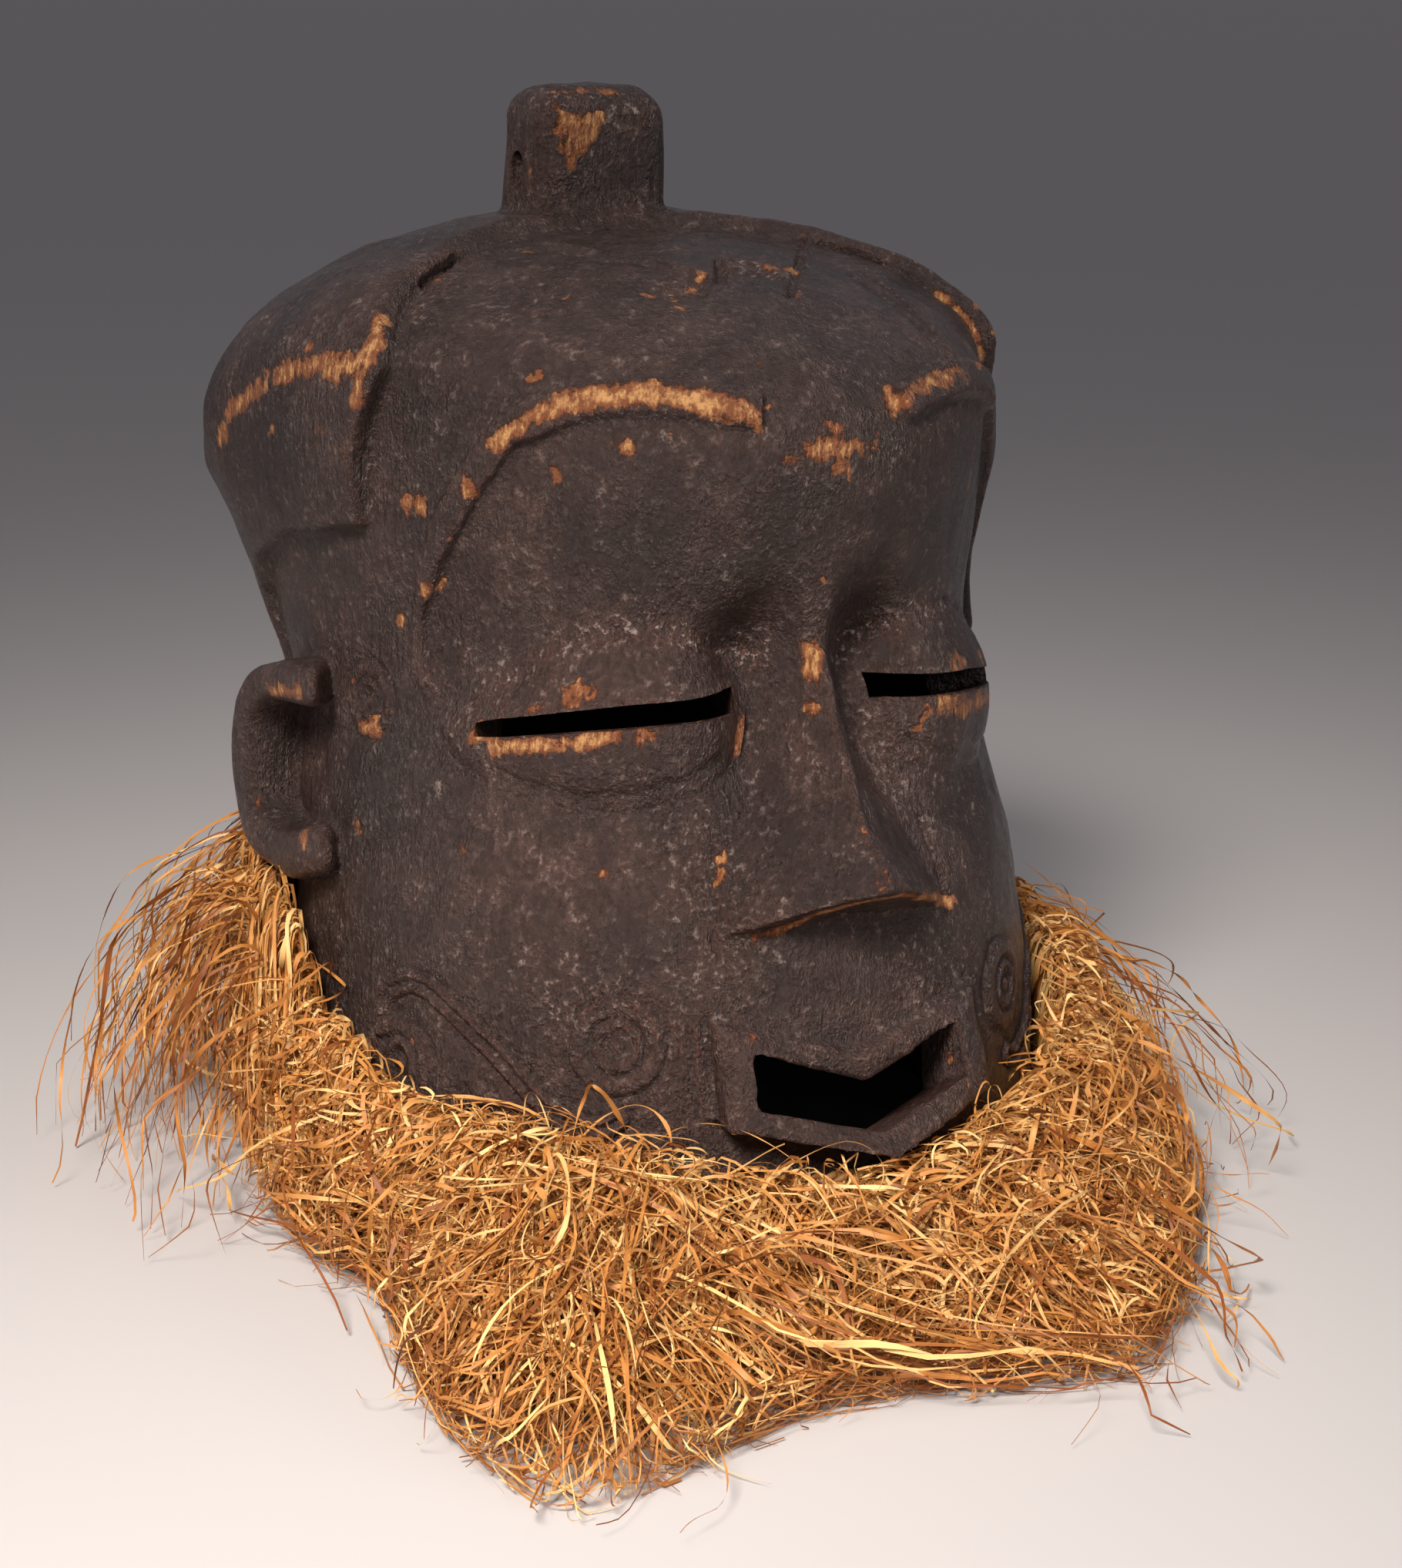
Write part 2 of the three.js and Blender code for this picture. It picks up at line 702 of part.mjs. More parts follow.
// The raffia: a skirt of locks that rolls up and outward from the lacing and falls to the floor.
function fringe() {
  const rows = turns(FRINGE.columns).map((turn) => {
    const degrees = (turn - Math.PI) / DEGREE;
    const angle = degrees * DEGREE;
    const stations = (part) => through(FRINGE_STATIONS, (s) => s.angle, (s) => s[part], degrees);
    const lock = Math.sin(13 * angle + 1) * 0.6 + Math.sin(29 * angle + 2) * 0.4;
    const reach = stations("reach") * (1 + FRINGE.locks * lock);
    const top = stations("top") + Math.max(0, FRINGE.ridges * lock);
    const wall = wallPoint(angle, 0);
    const spread = reach - Math.hypot(wall.x, wall.y);
    const place = (out, z) => {
      const foot = wallPoint(angle, Math.min(z, 60));
      const away = new THREE.Vector3(Math.sin(angle), -Math.cos(angle), 0);
      return new THREE.Vector3(foot.x, foot.y, z).addScaledVector(away, out);
    };
    return [
      place(FRINGE.gap, 0),
      place(FRINGE.gap, FRINGE.notch),
      place(FRINGE.notchDepth, FRINGE.notch + 0.5),
      place(FRINGE.notchDepth + 1, top - 6),
      place(FRINGE.notchDepth + 6, top),
      place(FRINGE.notchDepth + 16, top - 2 + lock),
      place(Math.max(spread * 0.45, 30), top * 0.66 + 2 * lock),
      place(Math.max(spread * 0.72, 38), top * 0.36 + 3 * lock),
      place(spread * 0.93, 10 + 2 * lock),
      place(spread, 0),
    ];
  });
  return solid(loft(rows, true));
}

// The whole carving: hair, face and neck in one block, hollow below.
function helmetMask() {
  let body = joined([head(), hair(), knob(), nose(), mouthFrame()]);
  for (const part of [eyeBulge(), band(), scroll(), ear()]) {
    body = body.add(pair(part));
  }
  for (const place of RINGS) {
    body = body.add(ringMotif(place));
  }
  for (const cut of [cavity(), knobHole(), mouthOpening(), pair(eyeSlit()), lacingHoles()]) {
    body = body.subtract(cut);
  }
  return body;
}

const wood = new THREE.MeshStandardMaterial({ color: 0x2b2320, roughness: 0.62, metalness: 0 });
const raffia = new THREE.MeshStandardMaterial({ color: 0xc79a55, roughness: 0.85, metalness: 0 });

function mesh(name, geometry, material) {
  const item = new THREE.Mesh(geometry, material);
  item.name = name;
  return item;
}

const mask = new THREE.Group();
mask.add(mesh("helmet_mask", geometryOf(helmetMask()), wood));
mask.add(mesh("raffia_lacing", geometryOf(lacing()), raffia));
mask.add(mesh("raffia_fringe", geometryOf(fringe()), raffia));

// The origin is the middle of the whole footprint, on the plane of the rim.
const footprint = new THREE.Box3().setFromObject(mask).getCenter(new THREE.Vector3());
mask.position.set(-footprint.x, -footprint.y, 0);
mask.updateMatrixWorld(true);

export default mask;
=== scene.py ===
"""Carved helmet mask with a raffia fringe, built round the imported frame.

Shapes are worked out in the mask's own millimetres: +Z up from the rim, the face looks along -Y,
+X is the mask's own left and the rim's centre is the origin. Every finished piece is then moved
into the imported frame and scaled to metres. Angles run round the head from the face, and a level
runs from 0 at the rim over 1 at the ridge of the hair to 2 at the top of the dome.
"""

import logging
import math
from collections.abc import Callable
from dataclasses import dataclass, field
from enum import Enum

import bpy
import numpy as np
from mathutils import Matrix, Vector
from mathutils.kdtree import KDTree


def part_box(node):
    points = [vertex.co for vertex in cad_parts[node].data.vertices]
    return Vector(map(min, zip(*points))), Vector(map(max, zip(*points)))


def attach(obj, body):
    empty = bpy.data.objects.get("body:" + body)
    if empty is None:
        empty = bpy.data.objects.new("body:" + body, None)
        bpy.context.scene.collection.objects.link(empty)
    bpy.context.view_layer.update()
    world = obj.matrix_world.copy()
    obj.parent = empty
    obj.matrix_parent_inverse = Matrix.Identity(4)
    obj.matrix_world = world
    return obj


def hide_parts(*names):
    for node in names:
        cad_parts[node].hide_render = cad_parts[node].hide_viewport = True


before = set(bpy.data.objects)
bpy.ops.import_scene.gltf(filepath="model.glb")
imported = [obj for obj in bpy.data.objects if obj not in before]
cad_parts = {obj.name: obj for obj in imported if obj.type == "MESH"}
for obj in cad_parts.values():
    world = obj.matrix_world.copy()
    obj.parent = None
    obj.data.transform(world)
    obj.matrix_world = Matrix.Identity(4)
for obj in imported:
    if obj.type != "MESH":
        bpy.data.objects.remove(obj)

log = logging.getLogger("mask")

MM = 0.001
PHOTO_SIZE = (1820, 2035)
WALL = 14.0  # thickness of the wall at the face and the rim in mm
HOLES = 10  # holes of the lacing
HOLE_HEIGHT = 28.0  # above the rim in mm
UPRIGHT = np.array([0.0, 0.0, 1.0])
MIRROR = np.array([-1.0, 1.0, 1.0])

Values = float | np.ndarray
Stations = tuple[tuple[float, float], ...]
Colour = tuple[float, float, float, float]
Socket = bpy.types.NodeSocket
Feed = float | tuple | Socket
Sockets = tuple[tuple[str, str], ...]


def lerp(a: Values, b: Values, t: Values) -> Values:
    """Blends a into b."""
    return a + (b - a) * t


def smoothstep(low: float, high: float, value: np.ndarray) -> np.ndarray:
    """Smooth rise from 0 to 1."""
    t = np.clip((value - low) / (high - low), 0.0, 1.0)
    return t * t * (3.0 - 2.0 * t)


def unit(vectors: np.ndarray) -> np.ndarray:
    """Scales vectors to length 1."""
    length = np.linalg.norm(vectors, axis=-1, keepdims=True)
    return vectors / np.maximum(length, 1e-9)


def through(keys: Values, values: Values, at: Values) -> np.ndarray:
    """Smooth curve through stations, with the slope of its neighbours at each of them.

    Args:
        keys: Rising keys of the stations.
        values: Their values.
        at: Keys to evaluate.

    Returns:
        The values there.
    """
    keys = np.asarray(keys, float)
    values = np.asarray(values, float)
    at = np.asarray(at, float)
    order = np.arange(len(keys))
    low = np.maximum(order - 1, 0)
    high = np.minimum(order + 1, len(keys) - 1)
    slopes = (values[high] - values[low]) / (keys[high] - keys[low])
    i = np.clip(np.searchsorted(keys, at, side="left") - 1, 0, len(keys) - 2)
    step = keys[i + 1] - keys[i]
    s = np.clip((at - keys[i]) / step, 0.0, 1.0)
    rise = s * s * (3.0 - 2.0 * s)
    bow = step * (s * (1.0 - s) ** 2 * slopes[i] - s * s * (1.0 - s) * slopes[i + 1])
    return lerp(values[i], values[i + 1], rise) + bow


def catmull(points: np.ndarray | tuple, count: int, closed: bool = False) -> np.ndarray:
    """Smooth route through points.

    Args:
        points: Points of the route.
        count: Number of points to return.
        closed: Whether the route runs back to its start.

    Returns:
        Evenly parted points on the route.
    """
    points = np.asarray(points, float)
    last = len(points) if closed else len(points) - 1
    at = np.linspace(0.0, last, count, endpoint=not closed)
    i = np.minimum(at.astype(int), last - 1)
    t = (at - i)[:, None]
    if closed:
        p0, p1, p2, p3 = (points[(i + k) % len(points)] for k in (-1, 0, 1, 2))
    else:
        padded = np.vstack([2 * points[0] - points[1], points, 2 * points[-1] - points[-2]])
        p0, p1, p2, p3 = (padded[i + k] for k in (0, 1, 2, 3))
    return 0.5 * (
        2 * p1 + (p2 - p0) * t + (2 * p0 - 5 * p1 + 4 * p2 - p3) * t**2
        + (3 * p1 - p0 - 3 * p2 + p3) * t**3
    )


def full_turn(count: int) -> np.ndarray:
    """Evenly parted angles of one full turn, in radians."""
    return np.linspace(0, 2 * np.pi, count, endpoint=False)


def rounded(count: int, power: float) -> tuple[np.ndarray, np.ndarray]:
    """Outline between a circle and a square, with half sizes of 1.

    Args:
        count: Number of points.
        power: Power of the outline, 2 for a circle.

    Returns:
        The points' two coordinates.
    """
    turn = full_turn(count)
    reach = (np.abs(np.cos(turn)) ** power + np.abs(np.sin(turn)) ** power) ** (-1 / power)
    return reach * np.cos(turn), reach * np.sin(turn)


def phases(rng: np.random.Generator, count: int) -> np.ndarray:
    """Random angles in radians, one a row."""
    return rng.uniform(0, 2 * np.pi, count)[:, None]


@dataclass(frozen=True)
class Waves:
    """Smooth noise made of plane waves with random directions.

    Attributes:
        length: Typical wavelength in mm.
        count: Number of waves.
        seed: Seed of the directions and phases.
        squeeze: Factors on the three axes, below 1 where the noise is drawn out.
    """

    length: float
    count: int = 18
    seed: int = 1
    squeeze: tuple[float, float, float] = (1.0, 1.0, 1.0)

    def at(self, points: np.ndarray) -> np.ndarray:
        """Evaluates the noise.

        Args:
            points: Points in mm.

        Returns:
            Values of about -1 to 1.
        """
        rng = np.random.default_rng(self.seed)
        total = np.zeros(len(points))
        scaled = points * np.array(self.squeeze)
        for _ in range(self.count):
            way = unit(rng.normal(size=3))
            wave = self.length * rng.uniform(0.7, 1.5)
            total += np.sin(scaled @ (way * 2 * np.pi / wave) + rng.uniform(0, 2 * np.pi))
        return total / math.sqrt(self.count)


# Closed meshes as arrays


@dataclass
class Shell:
    """Closed triangle mesh in the mask's millimetres.

    Attributes:
        points: Corners.
        faces: Corner numbers of the triangles.
    """

    points: np.ndarray
    faces: np.ndarray

    def outward(self) -> "Shell":
        """Turns all faces outward.

        Returns:
            The shell itself.
        """
        a, b, c = (self.points[self.faces[:, k]] for k in range(3))
        if np.einsum("ij,ij->", a, np.cross(b, c)) < 0:
            self.faces = self.faces[:, ::-1].copy()
        return self

    def mirrored(self) -> "Shell":
        """Mirror image across the middle of the face."""
        return Shell(self.points * MIRROR, self.faces.copy()).outward()


def merged(shells: list[Shell]) -> Shell:
    """Puts shells into one, without joining their surfaces.

    Args:
        shells: The shells.

    Returns:
        One shell with all their faces.
    """
    starts = np.cumsum([0] + [len(s.points) for s in shells[:-1]])
    points = np.vstack([s.points for s in shells])
    faces = np.vstack([s.faces + start for s, start in zip(shells, starts)])
    return Shell(points, faces)


def loft(rows: np.ndarray, closed: bool = False) -> Shell:
    """Skin over rows of points that each run once round.

    Args:
        rows: Array of rows, each a ring of points.
        closed: Whether the last row joins the first.

    Returns:
        The closed shell, with fans over its ends if it isn't closed.
    """
    rows = np.asarray(rows, float)
    count, sides = rows.shape[:2]
    grid = np.arange(count * sides).reshape(count, sides)
    low = grid if closed else grid[:-1]
    high = np.roll(grid, -1, 0) if closed else grid[1:]
    a, b, d, e = low, np.roll(low, -1, 1), high, np.roll(high, -1, 1)
    faces = [np.stack([a, b, e], -1).reshape(-1, 3), np.stack([a, e, d], -1).reshape(-1, 3)]
    points = [rows.reshape(-1, 3)]
    if not closed:
        for ring, flip, number in ((0, True, count * sides), (-1, False, count * sides + 1)):
            first, second = grid[ring], np.roll(grid[ring], -1)
            if flip:
                first, second = second, first
            faces.append(np.stack([first, second, np.full(sides, number)], -1))
            points.append(rows[ring].mean(0, keepdims=True))
    return Shell(np.vstack(points), np.vstack(faces)).outward()


def mesh_from(name: str, points: np.ndarray, faces: np.ndarray) -> bpy.types.Mesh:
    """Makes a mesh from arrays.

    Args:
        name: Name of the mesh.
        points: Corners.
        faces: Corner numbers, three a face.

    Returns:
        The mesh.
    """
    mesh = bpy.data.meshes.new(name)
    mesh.vertices.add(len(points))
    mesh.vertices.foreach_set("co", np.ascontiguousarray(points, np.float32).ravel())
    mesh.loops.add(faces.size)
    mesh.loops.foreach_set("vertex_index", np.ascontiguousarray(faces, np.int32).ravel())
    mesh.polygons.add(len(faces))
    mesh.polygons.foreach_set("loop_start", np.arange(0, faces.size, 3, dtype=np.int32))
    mesh.update(calc_edges=True)
    return mesh


def add_object(name: str, mesh: bpy.types.Mesh) -> bpy.types.Object:
    """Adds an object at the origin.

    Args:
        name: Its name.
        mesh: Its mesh.

    Returns:
        The object.
    """
    thing = bpy.data.objects.new(name, mesh)
    bpy.context.scene.collection.objects.link(thing)
    return thing


def read(items: bpy.types.bpy_prop_collection, name: str, width: int, kind: type) -> np.ndarray:
    """Reads a value of every item of a mesh.

    Args:
        items: Corners, normals or edges.
        name: Name of the value.
        width: Its numbers for each item.
        kind: Type of a number in the mesh.

    Returns:
        A row for each item.
    """
    flat = np.zeros(len(items) * width, kind)
    items.foreach_get(name, flat)
    return flat.reshape(-1, width)


def points_of(mesh: bpy.types.Mesh) -> np.ndarray:
    """Corners of a mesh."""
    return read(mesh.vertices, "co", 3, np.float32).astype(float)


def normals_of(mesh: bpy.types.Mesh) -> np.ndarray:
    """Vertex normals of a mesh."""
    return read(mesh.vertex_normals, "vector", 3, np.float32).astype(float)


def edges_of(mesh: bpy.types.Mesh) -> np.ndarray:
    """Edges of a mesh as pairs of corner numbers."""
    return read(mesh.edges, "vertices", 2, np.int32)


def move_points(mesh: bpy.types.Mesh, points: np.ndarray) -> None:
    """Writes the corners of a mesh."""
    mesh.vertices.foreach_set("co", np.ascontiguousarray(points, np.float32).ravel())
    mesh.update()


def relaxed(points: np.ndarray, edges: np.ndarray, rounds: int, pull: float = 0.5) -> np.ndarray:
    """Moves points towards the mean of their neighbours.

    Args:
        points: The points.
        edges: Pairs of neighbours.
        rounds: Number of rounds.
        pull: Share of the way in each round.

    Returns:
        The smoothed points.
    """
    size = len(points)
    degree = np.bincount(edges.ravel(), minlength=size).astype(float)
    degree[degree == 0] = 1.0
    current = points.copy()
    for _ in range(rounds):
        total = np.empty_like(current)
        for k in range(current.shape[1]):
            column = current[:, k]
            total[:, k] = np.bincount(edges[:, 0], column[edges[:, 1]], size)
            total[:, k] += np.bincount(edges[:, 1], column[edges[:, 0]], size)
        current += pull * (total / degree[:, None] - current)
    return current


def baked(thing: bpy.types.Object, name: str) -> bpy.types.Object:
    """Replaces an object by a plain mesh of what its modifiers make.

    Args:
        thing: Object with modifiers.
        name: Name of the new object.

    Returns:
        The new object.
    """
    graph = bpy.context.evaluated_depsgraph_get()
    mesh = bpy.data.meshes.new_from_object(thing.evaluated_get(graph), depsgraph=graph)
    old = thing.data
    bpy.data.objects.remove(thing)
    if old.users == 0:
        bpy.data.meshes.remove(old)
    made = add_object(name, mesh)
    mesh.name = name
    return made


def cut(body: bpy.types.Object, tool: Shell) -> bpy.types.Object:
    """Cuts a shell out of a body.

    Args:
        body: The body.
        tool: The closed tool.

    Returns:
        The new body.
    """
    other = add_object("tool", mesh_from("tool", tool.points, tool.faces))
    step = body.modifiers.new("cut", "BOOLEAN")
    step.operation = "DIFFERENCE"
    step.solver = "MANIFOLD"
    step.object = other
    made = baked(body, body.name)
    mesh = other.data
    bpy.data.objects.remove(other)
    bpy.data.meshes.remove(mesh)
    return made


# Form of the head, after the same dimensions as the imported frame


@dataclass(frozen=True)
class HeadForm:
    """The egg-shaped wall and dome that everything is carved on.

    Attributes:
        heights: Heights of the stations of the wall.
        half: Half widths there.
        front: Front of the wall there.
        back: Back of the wall there.
        middle: Place of the widest point there.
        ridge_angles: Angles of the stations of the ridge.
        ridge_heights: Heights of the ridge there.
        dome_y: Place of the top of the dome.
        dome_z: Height of the top of the dome.
        shoulder: Power of the dome's section.
        front_power: Fullness of the front's plan.
        back_power: Fullness of the back's plan.
        socket_heights: Heights of the stations of the hollows beside the bridge.
        socket_shares: Share of their full depth there.
        socket: Their depth, place beside the middle, spread, and the bridge's spread.
        last_level: Level of the last ring of the dome, short of its pole.
    """

    heights: tuple = (0, 30, 75, 110, 150, 183, 215, 243, 270)
    half: tuple = (119, 120, 117, 113, 108, 110, 117, 119, 119)
    front: tuple = (-124, -125, -120, -111, -96, -90, -95, -101, -98)
    back: tuple = (119, 121, 122, 126, 134, 152, 176, 188, 190)
    middle: tuple = (0, 0, 4, 12, 26, 46, 64, 74, 78)
    ridge_angles: tuple = (0, 25, 45, 60, 75, 90, 110, 140, 180)
    ridge_heights: tuple = (243, 247, 257, 263, 255, 239, 217, 202, 196)
    dome_y: float = 52
    dome_z: float = 298
    shoulder: float = 0.9
    front_power: float = 2.02
    back_power: float = 2.3
    socket_heights: tuple = (100, 120, 140, 158, 172, 184, 198, 212, 225)
    socket_shares: tuple = (0, 0.1, 0.35, 0.8, 1, 0.95, 0.4, 0.05, 0)
    socket: tuple[float, float, float, float] = (13.0, 19.0, 15.0, 8.0)
    last_level: float = 1.985

    def socket_at(self, x: np.ndarray, z: np.ndarray) -> np.ndarray:
        """How far the wall is set back beside the bridge of the nose.

        Args:
            x: Values of x in mm.
            z: Heights in mm.

        Returns:
            Distances in mm.
        """
        depth, place, spread, bridge = self.socket
        share = through(self.socket_heights, self.socket_shares, z)
        hollow = np.exp(-(((np.abs(x) - place) / spread) ** 2))
        return depth * share * hollow * (1.0 - np.exp(-((x / bridge) ** 2)))

    def ridge(self, angle: np.ndarray) -> np.ndarray:
        """Height of the ridge."""
        turned = np.degrees(np.abs(np.arctan2(np.sin(angle), np.cos(angle))))
        return through(self.ridge_angles, self.ridge_heights, turned)

    def wall(self, angle: Values, z: Values, offset: Values = 0.0) -> np.ndarray:
        """Points of the wall.

        Args:
            angle: Angles in radians.
            z: Heights in mm.
            offset: Distance by which the wall is moved out.

        Returns:
            The points.
        """
        angle, z, offset = np.broadcast_arrays(*(np.asarray(value, float) for value in (angle, z, offset)))
        half = through(self.heights, self.half, z) + offset
        middle = through(self.heights, self.middle, z)
        to_front = middle - through(self.heights, self.front, z) + offset
        to_back = through(self.heights, self.back, z) - middle + offset
        sine, cosine = np.sin(angle), np.cos(angle)
        ahead = cosine > 0
        depth = np.where(ahead, to_front, to_back)
        power = np.where(ahead, lerp(self.front_power, self.back_power, sine**4), self.back_power)
        total = np.abs(sine / half) ** power + np.abs(cosine / depth) ** power
        radius = total ** (-1.0 / power)
        set_back = np.where(ahead, self.socket_at(radius * sine, z), 0.0)
        return np.stack([radius * sine, middle - radius * cosine + set_back, z], -1)

    def point(
        self, angle: Values, level: Values, offset: Values = 0.0, dome_offset: float | None = None
    ) -> np.ndarray:
        """Points of the wall up to level 1 and of the dome above it.

        Args:
            angle: Angles in radians.
            level: Levels from 0 to 2.
            offset: Distance by which the wall is moved out.
            dome_offset: The same for the top of the dome, or None for the wall's.

        Returns:
            The points.
        """
        angle, level = np.broadcast_arrays(np.asarray(angle, float), np.asarray(level, float))
        lift = offset if dome_offset is None else dome_offset
        ridge = self.ridge(angle)
        wall = self.wall(angle, ridge * np.minimum(level, 1.0), offset)
        turn = np.clip(level - 1.0, 0.0, 1.0) * np.pi / 2
        inward = np.maximum(np.cos(turn), 1e-9) ** self.shoulder
        dome = np.stack([
            wall[..., 0] * inward,
            lerp(self.dome_y, wall[..., 1], inward),
            lerp(ridge, self.dome_z + lift, np.sin(turn)),
        ], -1)
        return np.where((level <= 1.0)[..., None], wall, dome)

    def frame(self, angle: np.ndarray, level: np.ndarray) -> tuple[np.ndarray, ...]:
        """Surface frames.

        Args:
            angle: Angles in radians.
            level: Levels.

        Returns:
            Points, tangents round and up, and outward normals.
        """
        small = 1e-3
        point = self.point(angle, level)
        around = (self.point(angle + small, level) - self.point(angle - small, level)) / (2 * small)
        up = (self.point(angle, level + small) - self.point(angle, level - small)) / (2 * small)
        return point, around, up, unit(np.cross(around, up))

    def angle_at(self, x: Values, z: Values) -> np.ndarray:
        """Angle of the wall's point at an x on the front half.

        Args:
            x: Values of x in mm.
            z: Heights in mm.

        Returns:
            The angles.
        """
        x, z = np.broadcast_arrays(np.asarray(x, float), np.asarray(z, float))
        low, high = np.zeros(x.shape), np.full(x.shape, np.pi / 2)
        for _ in range(26):
            middle = (low + high) / 2
            inside = self.wall(middle, z)[..., 0] < np.abs(x)
            low, high = np.where(inside, middle, low), np.where(inside, high, middle)
        return np.sign(x) * low

    def face_y(self, x: Values, z: Values) -> np.ndarray:
        """Place of the wall's front."""
        return self.wall(self.angle_at(x, z), z)[..., 1]

    def stack(
        self, columns: int, rows: int, domes: int, offset: float = 0.0, lift: float = 0.0,
        bottom: float = 0.0,
    ) -> Shell:
        """The head as a closed stack of rings.

        Args:
            columns: Points round.
            rows: Rows up the wall.
            domes: Rows over the dome.
            offset: Distance by which the wall is moved out.
            lift: Distance by which the dome's top is moved out.
            bottom: Height of the flat end below the rim.

        Returns:
            The shell.
        """
        levels = np.concatenate([
            np.linspace(0.0, 1.0, rows + 1),
            np.linspace(1.0, self.last_level, domes + 1)[1:],
        ])
        rings = self.point(full_turn(columns)[None, :], levels[:, None], offset, lift)
        if bottom < 0.0:
            foot = rings[:1].copy()
            foot[..., 2] = bottom
            rings = np.concatenate([foot, rings])
        return loft(rings)


# Camera of the photograph


@dataclass(frozen=True)
class PhotoCamera:
    """Camera at the photograph's viewing angle.

    Attributes:
        azimuth: Turn round the mask in degrees.
        elevation: Height above the horizon in degrees.
        roll: Roll of the picture in degrees.
        focal: Focal length in pixels of the photograph.
        place: Position in the mask's millimetres.
    """

    azimuth: float = -30.0
    elevation: float = 15.0
    roll: float = 1.5
    focal: float = 4400.0
    place: tuple[float, float, float] = (-532.3, -944.0, 410.1)

    def axes(self) -> np.ndarray:
        """Axes of the picture.

        Returns:
            Rows for right, up and back.
        """
        turn, rise, roll = (math.radians(a) for a in (self.azimuth, self.elevation, self.roll))
        back = np.array([
            math.sin(turn) * math.cos(rise), -math.cos(turn) * math.cos(rise), math.sin(rise)
        ])
        level = np.array([math.cos(turn), math.sin(turn), 0.0])
        up = np.cross(back, level)
        right = math.cos(roll) * level + math.sin(roll) * up
        return np.stack([right, -math.sin(roll) * level + math.cos(roll) * up, back])

    def ray(self, pixel: tuple[float, float]) -> Vector:
        """Direction through a pixel of the photograph.

        Args:
            pixel: Its place in pixels.

        Returns:
            The direction.
        """
        right, up, back = self.axes()
        across = (pixel[0] - PHOTO_SIZE[0] / 2) / self.focal
        down = (pixel[1] - PHOTO_SIZE[1] / 2) / self.focal
        return Vector(unit(across * right - down * up - back))

    def build(self, shift: np.ndarray) -> bpy.types.Object:
        """Makes the scene's camera.

        Args:
            shift: Place of the mask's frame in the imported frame, in mm.

        Returns:
            The camera.
        """
        data = bpy.data.cameras.new("camera")
        data.sensor_width = 36.0
        data.lens = self.focal / max(PHOTO_SIZE) * data.sensor_width
        data.clip_start, data.clip_end = 0.05, 20.0
        camera = bpy.data.objects.new("camera", data)
        right, up, back = self.axes()
        place = (np.array(self.place) + shift) * MM
        camera.matrix_world = Matrix([
            [right[k], up[k], back[k], place[k]] for k in range(3)
        ] + [[0, 0, 0, 1]])
        bpy.context.scene.collection.objects.link(camera)
        bpy.context.scene.camera = camera
        return camera


# Marks on the wood, placed by where the photograph shows them


class Mark(Enum):
    """Kinds of mark that a stroke leaves."""

    WORN = "worn"
    DUST = "dust"
    CUT = "cut"


@dataclass(frozen=True)
class Stroke:
    """A mark along a path of photograph pixels on the wood.

    Attributes:
        kind: What the mark is.
        path: Pixels of the photograph.
        radius: Half width in mm.
        strength: Depth in mm for a cut, below 0 where it stands out, or the mark's strength.
        both: Whether the mirrored side has it too.
    """

    kind: Mark
    path: tuple
    radius: float
    strength: float = 1.0
    both: bool = False


def marks(kind: Mark, *rows: tuple, both: bool = False) -> list[Stroke]:
    """Strokes of one kind from rows of a radius, a strength and the pixels."""
    return [Stroke(kind, row[2:], row[0], row[1], both) for row in rows]


